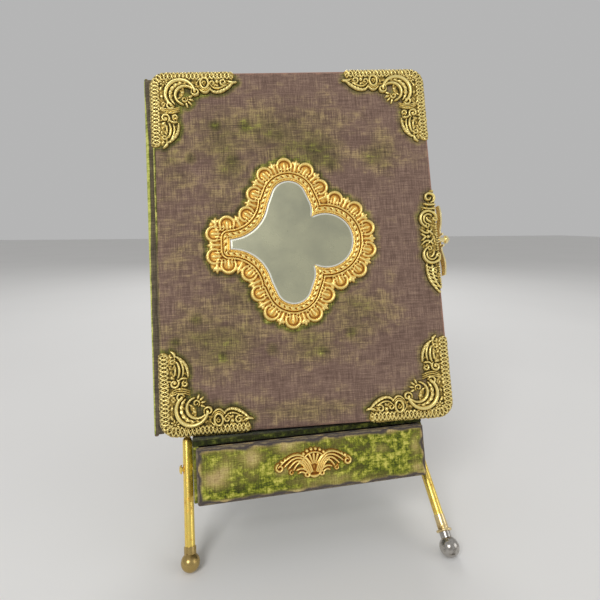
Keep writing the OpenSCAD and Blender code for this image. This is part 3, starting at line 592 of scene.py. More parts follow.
def blurred(field, reach):
    """A field averaged over a square of reach cells to each side, twice."""
    for _ in range(2):
        for axis in (0, 1):
            field = sum(np.roll(field, k, axis) for k in range(-reach, reach + 1)) / (2 * reach + 1)
    return field


def rounded(gap, half):
    """The height of a round ridge: 1 on its middle line, 0 where the gap is half its width."""
    return np.sqrt(np.clip(1 - (gap / half) ** 2, 0, 1))


# Paths of the brass work, in mm

def ray(angle):
    return np.array([math.cos(math.radians(angle)), math.sin(math.radians(angle))])


def arc(centre, radius, start, end, count=28):
    angles = np.radians(np.linspace(start, end, count))
    return np.stack([centre[0] + radius * np.cos(angles), centre[1] + radius * np.sin(angles)], 1)


def volute(centre, radius, start, sweep, inner=0.3, count=40):
    """A spiral that starts on a circle and winds in to a share of its radius."""
    share = np.linspace(0, 1, count)
    angles = np.radians(start + sweep * share)
    radii = radius * (1 - (1 - inner) * share)
    return np.stack([centre[0] + radii * np.cos(angles), centre[1] + radii * np.sin(angles)], 1)


def bent(*points, count=24):
    """A smooth curve drawn by its control points."""
    t = np.linspace(0, 1, count)[:, None]
    level = [np.asarray(p, float)[None, :] * np.ones_like(t) for p in points]
    while len(level) > 1:
        level = [a * (1 - t) + b * t for a, b in zip(level[:-1], level[1:])]
    return level[0]


def spot(centre):
    return np.array([centre, (centre[0] + 0.01, centre[1])], float)


def sideways(path):
    """The way to the left of a path, at each of its points."""
    way = np.gradient(path, axis=0)
    way /= np.hypot(*way.T)[:, None]
    return np.stack([-way[:, 1], way[:, 0]], 1)


def nearest(path, x, y):
    """Distance from each point to a path, and the length along the path of its nearest place."""
    lengths = np.hypot(*np.diff(path, axis=0).T)
    starts = np.concatenate([[0], np.cumsum(lengths)])
    away = np.full(x.shape, FAR)
    along = np.zeros(x.shape)
    for (ax, ay), (bx, by), start, length in zip(path[:-1], path[1:], starts, lengths):
        if length == 0:
            continue
        share = np.clip(((x - ax) * (bx - ax) + (y - ay) * (by - ay)) / length ** 2, 0, 1)
        gap = np.hypot(x - ax - share * (bx - ax), y - ay - share * (by - ay))
        closer = gap < away
        away = np.where(closer, gap, away)
        along = np.where(closer, start + share * length, along)
    return away, along, starts[-1]


# How far from the brass its fringe of pile, kept pile that also stands for painted shade beside the
# brass, is looked for, and how fast the fringe thins out
FRINGE_REACH, FRINGE_FALL = 4.5, 3.2


class PressedSheet:
    """A sheet of pressed brass on a flat grid: strokes raise it and spread its outline."""

    GROUND = 0.55
    RIM = 0.9

    def __init__(self, low, high, step):
        self.low = np.array(low, float)
        self.step = step
        self.x, self.y = np.meshgrid(np.arange(low[0], high[0] + step, step),
                                     np.arange(low[1], high[1] + step, step), indexing="ij")
        self.height = np.zeros_like(self.x)
        self.inside = np.full_like(self.x, -FAR)

    def near(self, path, reach):
        """The part of the grid that a stroke changes, with room for the fringe beside it."""
        reach = reach + FRINGE_REACH
        first = np.floor((path.min(0) - reach - self.low) / self.step).astype(int)
        last = np.ceil((path.max(0) + reach - self.low) / self.step).astype(int) + 1
        first = np.clip(first, 0, np.array(self.x.shape) - 1)
        last = np.maximum(last, first + 1)
        return slice(first[0], last[0]), slice(first[1], last[1])

    def spread_bars(self, bars):
        """Flat metal along straight bars: first and last place, and half width of each."""
        for first, last, width in bars:
            path = np.array([first, last])
            area = self.near(path, width)
            away, _, _ = nearest(path, self.x[area], self.y[area])
            self.inside[area] = np.maximum(self.inside[area], width - away)

    def press(self, path, width, height, thin=0.45, swell=0.5, flutes=0, edge=0.5):
        """A rounded ridge along a path, thin at its ends, widest at a share of its length."""
        area = self.near(path, width + edge)
        away, along, length = nearest(path, self.x[area], self.y[area])
        share = along / length
        rise = np.where(share < swell, share / swell, (1 - share) / (1 - swell))
        wide = width * (thin + (1 - thin) * np.sqrt(np.clip(rise, 0, 1)))
        ridge = rounded(away, wide) * height * (0.4 + 0.6 * wide / width)
        if flutes:
            ridge *= 0.82 + 0.18 * np.cos(2 * math.pi * (share * flutes + 0.6 * away / width))
        self.height[area] = np.maximum(self.height[area], ridge)
        self.inside[area] = np.maximum(self.inside[area], wide + edge - away)

    def bead(self, centre, radius, height):
        self.press(spot(centre), radius, height, thin=1, edge=0.3)

    def fan(self, centre, radius, start, end, ribs, height):
        """Ribs that spread from a point, as in a shell."""
        middle = np.asarray(centre, float)
        width = radius * 0.8 * math.radians(abs(end - start)) / (2 * ribs)
        for angle in np.linspace(start, end, ribs):
            way = ray(angle)
            self.press(np.array([middle + way * radius * 0.25, middle + way * radius]), width,
                       height, thin=0.35, swell=0.9)

    def stipple(self, height, seed):
        """A fine random stipple over the ground."""
        grain = np.random.default_rng(seed).random(self.x.shape)
        grain = blurred(grain, 1)
        grain = (grain - grain.min()) / (grain.max() - grain.min())
        self.height = np.maximum(self.height, height * smooth(grain, 0.4, 0.75))

    def depth(self, x, y):
        """How far places lie inside the sheet, read at the nearest point of the grid."""
        i = np.rint((x - self.low[0]) / self.step).astype(int)
        j = np.rint((y - self.low[1]) / self.step).astype(int)
        rows, columns = self.x.shape
        on_grid = (i >= 0) & (i < rows) & (j >= 0) & (j < columns)
        found = self.inside[np.clip(i, 0, rows - 1), np.clip(j, 0, columns - 1)]
        return np.where(on_grid, found, -FAR)

    def section(self):
        """The sheet's height with its rim rolled down, and how much each point stands out, from
        which the finishes paint dark patina and shade in the hollows and a highlight on the crests.
        """
        level, by_surroundings, by_height, reach = 0.42, 0.75, 0.09, 1.1
        top = (self.GROUND + self.height) * smooth(self.inside, -0.1, self.RIM)
        above = top - blurred(top, max(1, round(reach / self.step)))
        crown = np.clip(level + above * by_surroundings + top * by_height, 0, 1)
        return top, crown

    def cut(self):
        """Cells, snapped points, top heights and crowns of the finished sheet."""
        cells = grid_cells(self.inside)
        x, y = snap_rim(self.x, self.y, self.inside, cells, self.step)
        top, crown = self.section()
        return cells, x, y, top, crown


def sheet_piece(name, cells, upper, under, crown, matrix, finish, body, node, sharp=60):
    """A piece made of a closed sheet, with how much each point stands out as its crown."""
    points, faces, used = double_sheet(cells, upper, under)
    mesh = make_mesh(name, place(points, matrix), faces, [finish],
                     values={"crown": np.tile(crown.ravel()[used], 2)}, sharp=sharp)
    make_piece(name, mesh, body, [node])


# How far a mount stands off the board, and how far its underside is sunk in the cloth
MOUNT_OFF, MOUNT_SUNK = 0.1, 0.35


def wrapped_mount(node, sheet, to_board):
    """A pressed sheet laid over a cover board and its edge, on the front cover."""
    cells, x, y, top, crown = sheet.cut()
    u, v = to_board(x, y)
    upper = wrap_board(u, v, top + MOUNT_OFF)
    under = wrap_board(u, v, np.full_like(top, -MOUNT_SUNK))
    sheet_piece(node + "_brass", cells, upper, under, crown, FRONT_BOARD, GILT_MOUNT, "cover",
                node)


# Corner mounts: x runs from the cover's corner along the top or bottom edge, y up the side

CORNER_WRAP = 3.9


def corner_border(inset, start, end, spacing):
    """Points along the cover's edge at an inset, round the corner, from the side to the base."""
    bend_r = COVER_CORNER_R - inset
    side = np.array([[inset, y] for y in np.arange(start, COVER_CORNER_R, -0.25)])
    turn = arc((COVER_CORNER_R, COVER_CORNER_R), bend_r, 180, 270, 60)
    base = np.array([[x, inset] for x in np.arange(COVER_CORNER_R, end, 0.25)])
    path = np.concatenate([side, turn, base])
    lengths = np.concatenate([[0], np.cumsum(np.hypot(*np.diff(path, axis=0).T))])
    at = np.arange(0, lengths[-1], spacing)
    return np.stack([np.interp(at, lengths, path[:, 0]), np.interp(at, lengths, path[:, 1])], 1)


def corner_lattice(s):
    """The edge of a mount: two interlaced strands, beads in their eyes and a beaded rim."""
    pitch, inset, side_end, base_end = 5.8, 3.9, 58, 62
    spacing, swing = 0.4, 2.5
    line = corner_border(inset, side_end, base_end, spacing)
    across = sideways(line)
    turn = 2 * math.pi * np.arange(len(line)) * spacing / pitch
    for phase in (0, math.pi):
        s.press(line + across * (swing * np.sin(turn + phase))[:, None], 0.55, 1.2, thin=1)
    for point in corner_border(inset, side_end - pitch / 4, base_end, pitch / 2):
        s.bead(point, 0.6, 1.2)
    for point in corner_border(0, side_end, base_end, 1.75):
        s.bead(point, 0.6, 0.7)


def corner_scroll(s):
    """The crescent of a mount: two curled rims, a fluted band between, rays inside and a star."""
    rays_at, star_at = np.array([26, 22.6]), np.array([10.6, 8.6])
    s.press(arc((22.8, 18.6), 11.2, 126, 350, 60), 1.8, 3.1, thin=0.55)
    s.press(arc((26.4, 19.6), 7.4, 104, 318, 48), 1.25, 2.6, thin=0.55)
    s.press(arc((24.4, 19.1), 9.4, 134, 330, 48), 1.7, 2.0, flutes=9)
    s.press(volute((14.8, 27.4), 3.0, 10, 420), 0.9, 2.5)
    s.press(volute((34.2, 16.9), 3.3, 215, -440), 0.95, 2.5)
    s.press(volute((25.8, 22.8), 2.6, -60, 420), 0.8, 2.1)
    for angle in (-25, 8, 41, 74):
        s.press(np.array([rays_at + ray(angle) * 3.2, rays_at + ray(angle) * 6.2]), 1.0, 1.7,
                swell=0.3)
    for angle in np.linspace(10, 330, 8):
        s.press(np.array([star_at + ray(angle) * 1.3, star_at + ray(angle) * 3.6]), 0.75, 1.7)
    s.bead(star_at, 1.0, 1.7)


def corner_base(s):
    """The arm along the base: an oval ring under a peaked hump, an arch over scrolls, a tip."""
    around = np.radians(np.linspace(0, 360, 48))
    oval = np.stack([41.3 + 3.0 * np.cos(around), 10.2 + 4.2 * np.sin(around)], 1)
    s.press(oval, 0.95, 2.5, thin=1)
    s.press(volute((41.3, 9.8), 1.7, 90, 400), 0.65, 2.0)
    s.press(bent((36.4, 13.4), (41.3, 21.6), (46.0, 13.8)), 0.85, 2.2)
    s.press(bent((37.4, 12.8), (41.3, 19.0), (45.2, 12.9)), 0.7, 2.0)
    s.press(bent((45.4, 14.2), (48.0, 19.6), (56.0, 18.0), (63.4, 9.4)), 1.35, 2.4, flutes=8)
    s.press(bent((46.4, 12.4), (49.6, 15.8), (54.0, 14.4), (58.0, 11.4)), 0.8, 1.8)
    s.press(volute((47.4, 10.2), 2.2, 100, 400), 0.75, 2.0)
    s.bead((51.0, 8.8), 1.6, 2.0)
    s.press(volute((55.6, 9.4), 2.7, 60, 420), 0.85, 2.1)
    s.press(bent((59.4, 8.4), (62.4, 10.6), (65.6, 9.0)), 1.2, 1.8)
    s.press(bent((36.4, 8.6), (37.6, 6.6), (40.0, 5.4)), 0.8, 1.7)


def corner_side(s):
    """The arm up the side: layered flutes, an eye with its tail, and a curling leaf."""
    for lift in (0, 1.5, 3.0):
        flute = bent((9.0, 29.0 + lift), (14.6, 32.6 + lift), (21.2, 28.8 + lift))
        s.press(flute, 0.65, 1.5 + 0.2 * lift)
    s.press(volute((10.9, 37.6), 3.4, 60, -440), 1.0, 2.4)
    s.bead((10.9, 37.6), 1.1, 2.0)
    s.press(bent((13.8, 39.0), (16.0, 42.2), (19.6, 40.6)), 0.9, 2.0)
    s.press(volute((18.4, 37.2), 2.2, 120, 400), 0.8, 2.0)
    s.press(bent((20.6, 41.8), (21.0, 48.6), (18.0, 54.0), (12.6, 56.8)), 1.3, 2.3, flutes=7)
    s.press(bent((16.6, 42.4), (18.2, 46.6), (17.4, 50.8), (14.8, 54.4)), 0.95, 2.0)
    s.press(bent((13.4, 41.4), (15.4, 45.2), (15.0, 50.0), (12.8, 53.0)), 1.1, 2.2)
    s.press(bent((10.6, 42.4), (12.2, 45.8), (11.8, 49.2)), 0.85, 1.8)
    s.press(volute((9.9, 52.6), 2.1, -30, 420), 0.75, 1.9)
    s.press(bent((11.4, 56.0), (12.2, 58.8), (8.8, 60.6)), 1.1, 1.7)


# Flat metal of a corner mount, as bars: first and last place, and half width
CORNER_BARS = [((3, 3), (59, 3), 5.2), ((3, 3), (3, 55), 5.2), ((10, 10), (17, 15), 9),
               ((9, 20), (9, 53), 6.2), ((14, 33), (14, 50), 6.2), ((30, 8), (57, 7), 6.2)]


def corner_sheet():
    s = PressedSheet((-6, -6), (71, 66), step=0.36)
    s.spread_bars(CORNER_BARS)
    s.stipple(height=0.75, seed=4)
    corner_lattice(s)
    corner_scroll(s)
    corner_base(s)
    corner_side(s)
    inside, _, _ = board_inside(s.x, s.y)
    s.inside = np.minimum(s.inside, inside + CORNER_WRAP)
    return s


CORNER_SHEET = corner_sheet()


def corner_mounts():
    for height, top in (("bottom", False), ("top", True)):
        for side, right in (("left", False), ("right", True)):
            def to_board(x, y, right=right, top=top):
                return (COVER_W - x if right else x), (COVER_H - y if top else y)
            wrapped_mount("corner_%s_%s" % (height, side), CORNER_SHEET, to_board)


# Mirror: two narrow lobes, a wide side lobe and a narrow arm with hollow flanks

LOBE_TIP_R, LOBE_TIP = 14.5, 33.8
LOBE_ROOT_R, LOBE_ROOT = 18.2, 24
LOBE_WAIST = LOBE_ROOT + LOBE_ROOT_R * 0.22
SIDE_LOBE_R, SIDE_LOBE_OUT = 22, 26.5
FLARE_R, ARM_REACH, ARM_END = 29.2, 46.5, 4.8
GLASS_T, GLASS_LIP = 2, 1.6
FRAME_BAND, SHELL_OUT, SHELL_COUNT = 12.6, 10.9, 22
MIRROR_CENTRE = np.array([*MIRROR_AT, COVER_T])


def narrow_lobe_inside(x, rise):
    """How far a point lies inside a narrow lobe: its root, its tip and the flanks between."""
    length = LOBE_TIP - LOBE_ROOT
    taper = (LOBE_ROOT_R - LOBE_TIP_R) / length
    upright = math.sqrt(1 - taper ** 2)
    across, up = np.abs(x), rise - LOBE_ROOT
    level = upright * up - taper * across
    root = LOBE_ROOT_R - np.hypot(across, up)
    tip = LOBE_TIP_R - np.hypot(across, up - length)
    flank = LOBE_ROOT_R - upright * across - taper * up
    return np.where(level < 0, root, np.where(level > upright * length, tip, flank))


def lobed_inside(x, y):
    """How far a point lies inside the mirror's opening."""
    rise = np.abs(y)
    lobes = np.maximum(narrow_lobe_inside(x, rise), SIDE_LOBE_R - np.hypot(x - SIDE_LOBE_OUT, rise))
    slant = math.hypot(SIDE_LOBE_OUT, LOBE_WAIST)
    across = (SIDE_LOBE_OUT * (LOBE_WAIST - rise) - LOBE_WAIST * x) / slant
    middle = np.minimum(np.minimum(across, LOBE_WAIST - rise), x + ARM_REACH)
    flare = np.hypot(x + ARM_REACH, rise - FLARE_R - ARM_END) - FLARE_R
    arm = np.minimum(np.minimum(x + ARM_REACH, ARM_END - rise), -ARM_REACH / 2 - x)
    return np.maximum(np.maximum(lobes, np.minimum(middle, flare)), arm)


def meeting(first, first_r, second, second_r, side):
    """Where two circles meet, on one side of the line between their centres."""
    first, second = np.array(first, float), np.array(second, float)
    gap = second - first
    length = math.hypot(*gap)
    along = (length ** 2 + first_r ** 2 - second_r ** 2) / (2 * length)
    off = math.sqrt(max(first_r ** 2 - along ** 2, 0)) * side
    return first + gap / length * along + np.array([-gap[1], gap[0]]) / length * off


def lobed_path(grow):
    """The mirror's outline grown outwards, as a closed path from the arm's end, clockwise."""
    root, tip, side = (0, LOBE_ROOT), (0, LOBE_TIP), (SIDE_LOBE_OUT, 0)
    flare = (-ARM_REACH, FLARE_R + ARM_END)
    root_r, tip_r, side_r = LOBE_ROOT_R + grow, LOBE_TIP_R + grow, SIDE_LOBE_R + grow
    flare_r = FLARE_R - grow
    slant = math.degrees(math.asin((LOBE_ROOT_R - LOBE_TIP_R) / (LOBE_TIP - LOBE_ROOT)))

    def bearing(point, centre):
        return math.degrees(math.atan2(point[1] - centre[1], point[0] - centre[0]))

    join = meeting(flare, flare_r, root, root_r, -1)
    notch = meeting(root, root_r, side, side_r, 1)
    upper = np.concatenate([
        [(-ARM_REACH - grow, 0), (-ARM_REACH - grow, ARM_END + grow)],
        arc(flare, flare_r, -90, bearing(join, flare), 24),
        arc(root, root_r, bearing(join, root) % 360, 180 - slant, 8),
        arc(tip, tip_r, 180 - slant, slant, 48),
        arc(root, root_r, slant, bearing(notch, root), 12),
        arc(side, side_r, bearing(notch, side), 0, 40)])
    return np.concatenate([upper, (upper * (1, -1))[::-1]])


def spaced(path, count, offset=0.0):
    """Points evenly along a closed path, with the way along it at each."""
    lengths = np.concatenate([[0], np.cumsum(np.hypot(*np.diff(path, axis=0).T))])
    at = (np.arange(count) + offset) / count * lengths[-1]

    def on(position):
        position = position % lengths[-1]
        return np.stack([np.interp(position, lengths, path[:, 0]),
                         np.interp(position, lengths, path[:, 1])], 1)

    way = on(at + 0.6) - on(at - 0.6)
    return on(at), way / np.hypot(*way.T)[:, None]


def rim_shell(s, middle, way):
    """A scrolled shell of the frame: a broad rim with curled ends about a three-lobed leaf."""
    outwards = np.array([-way[1], way[0]])
    facing = math.degrees(math.atan2(outwards[1], outwards[0]))
    s.press(spot(middle), 6.4, 1.5, thin=1)
    s.press(arc(middle, 5.4, facing - 122, facing + 122, 40), 1.5, 3.0, thin=0.6)
    s.press(np.array([middle - outwards * 4.6, middle + outwards * 2.6]), 1.7, 2.5, swell=0.7)
    for side in (-1, 1):
        root = middle + way * side * 0.5 - outwards * 3.4
        tip = middle + way * side * 2.9 + outwards * 1.2
        s.press(bent(root, root + way * side * 2.2, tip), 0.85, 2.2)
        eye = middle + way * side * 3.9 - outwards * 3.7
        s.press(volute(eye, 1.8, facing - side * 50, side * 400), 0.75, 2.5)


def rim_leaf(s, root, way):
    """A three-lobed leaf tip of the frame, where two shells meet."""
    outwards = np.array([-way[1], way[0]])
    s.press(spot(root - outwards * 1.2), 5.2, 1.4, thin=1)
    s.press(np.array([root - outwards * 4.4, root + outwards * 5.0]), 1.7, 2.4, swell=0.75)
    for side in (-1, 1):
        tip = root + way * side * 2.6 + outwards * 3.6
        s.press(np.array([root - outwards * 0.5, tip]), 1.5, 2.2, swell=0.75)


def frame_sheet():
    s = PressedSheet((-70, -72), (72, 72), step=0.42)
    out = -lobed_inside(s.x, s.y)
    rise = np.abs(s.y)
    past_arm = (s.x < -ARM_REACH) & (rise > ARM_END)
    out = np.where(past_arm, np.hypot(s.x + ARM_REACH, rise - ARM_END), out)
    s.inside = FRAME_BAND - out
    rim = lobed_path(SHELL_OUT)
    for point, way in zip(*spaced(rim, SHELL_COUNT)):
        rim_leaf(s, point, way)
    for point, way in zip(*spaced(rim, SHELL_COUNT, 0.5)):
        rim_shell(s, point, way)
    # Dashed reed round the glass with a plain moulding outside it, and the lip that holds the glass
    reed_at, reed_half, reed_high = 2.5, 2.2, 3.1
    dash_pitch, dash_slant, dash_deep = 4.4, 0.42, 1.4
    moulding_at, moulding_half, moulding_high = 5.7, 0.9, 2.5
    lip_in, lip_half, lip_end, lip_low, groove_end = 0.4, 0.8, 0.4, 1.6, 6.4
    _, along, _ = nearest(lobed_path(reed_at), s.x, s.y)
    off = (out - reed_at) / reed_half
    dash = smooth(np.cos(2 * math.pi * (along / dash_pitch + off * dash_slant)), 0.2, 0.8)
    dash *= 1 - smooth(np.abs(off), 0.25, 0.6)
    reed = rounded(out - reed_at, reed_half) * (reed_high - dash_deep * dash)
    moulding = rounded(out - moulding_at, moulding_half) * moulding_high
    lip = rounded(out + lip_in, lip_half) * moulding_high
    groove = (out > lip_end) & (out < groove_end)
    s.height = np.where(groove, np.maximum(reed, moulding), np.maximum(s.height, lip))
    s.height = np.where(out < lip_end, np.maximum(s.height, lip_low), s.height)
    s.inside = np.minimum(s.inside, out + GLASS_LIP * 0.6)
    return s


FRAME_SHEET = frame_sheet()


def mirror_frame():
    """The frame's sheet: its underside is sunk in the cloth, and its lip lies on the glass."""
    cells, x, y, top, crown = FRAME_SHEET.cut()
    sunk, over_glass, least_t = 0.3, 0.02, 0.25
    base = np.where(-lobed_inside(x, y) < 0.2, GLASS_T + over_glass, -sunk)
    top = np.maximum(top, base + least_t)
    upper = np.stack([x, y, top], -1) + MIRROR_CENTRE
    under = np.stack([x, y, base], -1) + MIRROR_CENTRE
    sheet_piece("mirror_frame_brass", cells, upper, under, crown, FRONT_BOARD, GILT_FRAME,
                "cover", "mirror_frame")


def mirror_glass():
    """The glass, as far as the frame's lip covers it, with a narrow bevel along its outline."""
    step, bevel_w, bevel_drop, room = 0.5, 2.3, 0.4, 0.1
    x, y = np.meshgrid(np.arange(-50, 52, step), np.arange(-52, 52 + step, step), indexing="ij")
    inside = lobed_inside(x, y) + GLASS_LIP - room
    cells = grid_cells(inside)
    x, y = snap_rim(x, y, inside, cells, step)
    away, _, _ = nearest(lobed_path(0), x, y)
    away = np.where(lobed_inside(x, y) > 0, away, -away)
    slope = np.clip((bevel_w - away) / bevel_w, 0, 1.2)
    upper = np.stack([x, y, GLASS_T - bevel_drop * slope], -1) + MIRROR_CENTRE
    under = np.stack([x, y, np.full_like(x, room)], -1) + MIRROR_CENTRE
    # The bevel's share is given as the crown, which paints a pale highlight along it
    sheet_piece("mirror_glass_silvered", cells, upper, under, np.clip(slope * 3, 0, 1),
                FRONT_BOARD, MIRROR_SILVER, "cover", "mirror_glass", sharp=5)


# Clasp plate: x runs inwards from the cover's fore edge as negative values, y up from the clasp

CLASP_BARS = [((0, -33), (0, 34), 6.0), ((-4, -15), (-4, 19), 8.4), ((-4, -30), (-4, -15), 6.4)]
KNOT_Y = 1.8


def clasp_sheet():
    s = PressedSheet((-19, -46), (5, 43), step=0.34)
    s.spread_bars(CLASP_BARS)
    s.stipple(height=0.6, seed=9)
    # Comma scroll at the head, and the two bands of its neck
    s.press(volute((-4.6, 33.0), 4.3, -70, 430), 1.1, 2.4)
    s.press(bent((-8.6, 28.4), (-4.5, 26.0), (0.6, 28.2)), 1.0, 2.0)
    s.press(bent((-10.4, 25.4), (-4.5, 22.6), (0.8, 25.0)), 0.85, 1.9)
    # Two shells, rims outwards
    for middle, facing in (((-6.4, 15.8), 130), ((-6.2, -12.4), 230)):
        s.press(arc(middle, 6.3, facing - 120, facing + 120, 40), 1.3, 2.6)
        s.press(arc(middle, 3.8, facing - 90, facing + 110, 30), 1.0, 2.3)
        s.press(bent(middle - ray(facing) * 3.6, middle + ray(facing + 60) * 2.2,
                     middle + ray(facing) * 2.0), 1.0, 2.2)
        for side in (-1, 1):
            eye = np.array(middle) + ray(facing + side * 125) * 5.0
            s.press(volute(eye, 2.0, facing + side * 60, side * 400), 0.7, 2.1)
    # Knot between the shells: crossed leaves about a bead
    for up in (-1, 1):
        for width, height, curve in ((0.95, 2.0, ((-13.0, 6.0), (-8.6, 0.2), (-4.2, 6.0))),
                                     (0.9, 1.9, ((-12.8, 2.6), (-10.4, 0.6), (-9.4, 0))),
                                     (0.8, 1.9, ((-3.6, 1.2), (-5.4, 3.6), (-8.4, 5.4)))):
            s.press(bent(*((x, KNOT_Y + up * y) for x, y in curve)), width, height)
    s.bead((-7.8, KNOT_Y), 1.5, 2.2)
    # Leaf that runs down to a point
    s.press(bent((-10.6, -19.4), (-11.6, -28.6), (-7.6, -36.0), (-2.2, -41.6)), 1.25, 2.3, flutes=8)
    s.press(bent((-6.6, -20.0), (-7.8, -28.0), (-4.8, -34.0), (-1.6, -38.6)), 0.95, 2.0)
    for y in np.arange(-34, -19, 2.6):
        s.press(bent((-10.0 - (y + 26) * 0.25, y), (-7.0, y - 2.2), (-3.2, y - 3.4)), 0.85, 1.9)
    s.press(volute((-4.6, -24.6), 2.2, 40, 420), 0.75, 2.2)
    s.press(bent((-9.6, -23.4), (-7.4, -22.0), (-5.4, -21.2)), 0.75, 1.8)
    for y in np.arange(-37, 36, 1.9):
        s.bead((-0.9, y), 0.7, 1.3)
        s.bead((1.8, y), 0.5, 0.6)
    s.inside = np.minimum(s.inside, CORNER_WRAP - s.x)
    return s


CLASP_SHEET = clasp_sheet()


def clasp_plate():
    def to_board(x, y):
        return COVER_W + x, CLASP_Z + y
    wrapped_mount("clasp_plate", CLASP_SHEET, to_board)


# Drawer ornament: a fan over two leaf scrolls, flat on the drawer front

# Ribs of a leaf scroll, from the top one down: rise, reach to the side, and height of the tip
LEAF_RIBS = [(9.2, 24.0, 1.6), (7.0, 21.6, -0.2), (4.8, 18.6, -1.8), (2.6, 15.0, -3.0)]


def drawer_ornament():
    s = PressedSheet((-32, -13), (32, 15), step=0.32)
    s.spread_bars([((-5, -3.0), (5, -3.0), 4.0)])
    s.fan((0, -2.4), 9.6, 30, 150, 7, 1.8)
    s.press(arc((0, -1.6), 9.4, 20, 160, 40), 0.75, 2.1, thin=1)
    for angle in np.linspace(16, 164, 10):
        s.bead(ray(angle) * 11.2 + (0, -1.2), 1.35, 2.0)
    for side in (-1, 1):
        mirrored = np.array([side, 1])
        for k, (rise, reach, drop) in enumerate(LEAF_RIBS):
            rib = bent((1.4 + k, -5.4 - 0.6 * k), (5.5 + k, rise), (14 - k, rise + 1.4),
                       (reach, drop))
            s.press(rib * mirrored, 0.95, 2.4 - 0.15 * k, thin=0.6)
        s.press(volute((side * 24.8, -0.6), 2.9, 100, -side * 450), 1.0, 2.3)
        s.press(volute((side * 5.6, -6.8), 2.3, 90, side * 420), 0.85, 2.1)
        s.press(volute((side * 16.4, -4.6), 1.7, 60, -side * 400), 0.6, 1.8)
        s.press(bent((4.4, -6.2), (8.0, -0.6), (13.2, -3.6)) * mirrored, 0.9, 1.9)
        s.press(bent((6.0, -7.0), (9.0, -3.6), (11.6, -5.8)) * mirrored, 0.9, 1.8)
        for place_on in ((11.8, 7.2), (15.0, 6.8), (18.0, 5.8), (20.8, 4.6), (23.4, 3.4)):
            s.bead(place_on * mirrored, 1.2, 1.9)
    s.press(bent((-3.4, -7.8), (0, -10.0), (3.4, -7.8)), 1.2, 2.0)
    cells, x, y, top, crown = s.cut()
    middle_z = (CASE_BOTTOM_Z + DRAWER_TOP_Z) / 2 + 0.6
    shift = np.array([ORNAMENT_SHIFT, -DRAWER_OUT, middle_z])
    off, sunk, press_share = 0.2, 0.25, 0.9
    upper = np.stack([x, -off - top * press_share, y], -1) + shift
    under = np.stack([x, np.full_like(x, sunk), y], -1) + shift
    sheet_piece("drawer_ornament_brass", cells, upper, under, crown, STAND, GILT_FRAME,
                "drawer", "drawer_ornament")


# Velvet on the covers

CLOTH_STEP = 1.3
CLOTH_DOWN = 5.6
PAD_RISE, PAD_UNEVEN = 0.45, 0.1
# Where the front cover still has a thin pile: place across and up, half sizes and strength
THIN_PILE = [
    (100, 222, 42, 26, 0.66), (126, 209, 22, 18, 0.78), (174, 205, 15, 15, 0.64),
    (52, 222, 24, 26, 0.62), (58, 198, 16, 18, 0.62), (15, 200, 16, 30, 0.46),
    (40, 66, 46, 24, 0.6), (60, 98, 30, 20, 0.52), (146, 80, 26, 22, 0.56),
    (112, 60, 28, 16, 0.54), (105, 12, 50, 10, 0.46), (30, 140, 26, 40, 0.3),
    (52, 172, 16, 12, 0.48)]
# Where the pile is thicker, as soft round spots: place across and up, radius and strength
THICK_PILE = [
    (48, 231, 7, 0.98), (60, 204, 8, 0.8), (12, 67, 6, 0.86), (46, 55, 6, 0.78), (82, 58, 6, 0.76),
    (142, 67, 6, 0.76), (136, 198, 9, 0.74), (108, 232, 8, 0.72), (90, 225, 8, 0.7),
    (120, 55, 7, 0.72), (28, 82, 7, 0.72), (70, 230, 8, 0.78), (40, 20, 6, 0.74), (28, 206, 6, 0.7)]


def mount_depth(u, v):
    """How far a place of the front cover lies under the brass; negative beside it."""
    corner = CORNER_SHEET.depth(np.minimum(u, COVER_W - u), np.minimum(v, COVER_H - v))
    mirror = FRAME_SHEET.depth(u - MIRROR_AT[0], v - MIRROR_AT[1])
    return np.maximum.reduce([corner, mirror, CLASP_SHEET.depth(u - COVER_W, v - CLASP_Z)])


def front_pile(u, v):
    """How much pile is left at a place of the front cover: in its patches, beside the brass,
    which has kept it and where it is also painted shade, less along the rubbed edges, and in a line
    along the spine's edge."""
    pile = np.zeros_like(u)
    spots = [(x, y, radius, radius, strength) for x, y, radius, strength in THICK_PILE]
    for x, y, half_x, half_y, strength in THIN_PILE + spots:
        far = ((u - x) / half_x) ** 2 + ((v - y) / half_y) ** 2
        pile = np.maximum(pile, strength * np.exp(-0.8 * far))
    # Pile beside the brass: pile kept by the mounts, and its darker green is also painted shade
    # beside them
    fringe = np.exp(-(np.maximum(-mount_depth(u, v), 0) / FRINGE_FALL) ** 2)
    pile = np.maximum(pile, fringe * (0.92 - 0.32 * smooth(u, 130, 175)))
    inside, _, _ = board_inside(u, v)
    pile = np.where((inside < 2.5) & (u > 4), pile * 0.6, pile)
    line = 0.62 + 1.6 * smooth(v, 125, 165)
    return np.maximum(pile, line * smooth(-u, -2.6, -0.8))


def back_pile(u, v):
    wave = np.sin(u / 31) * np.sin(v / 43 + 1) + 0.6 * np.sin(u / 13 + v / 21)
    return 0.42 + 0.16 * wave


def front_wear(u, v):
    """Rubbed edges: the fore edge most, then the base and the head; on the fore edge the greatest
    wear also carries the pale band that is a painted highlight.
    """
    return np.maximum.reduce([smooth(u, COVER_W - 3.5, COVER_W + 1), 0.6 * smooth(-v, -4, 2),
                              0.8 * smooth(v, COVER_H - 5, COVER_H + 1)])


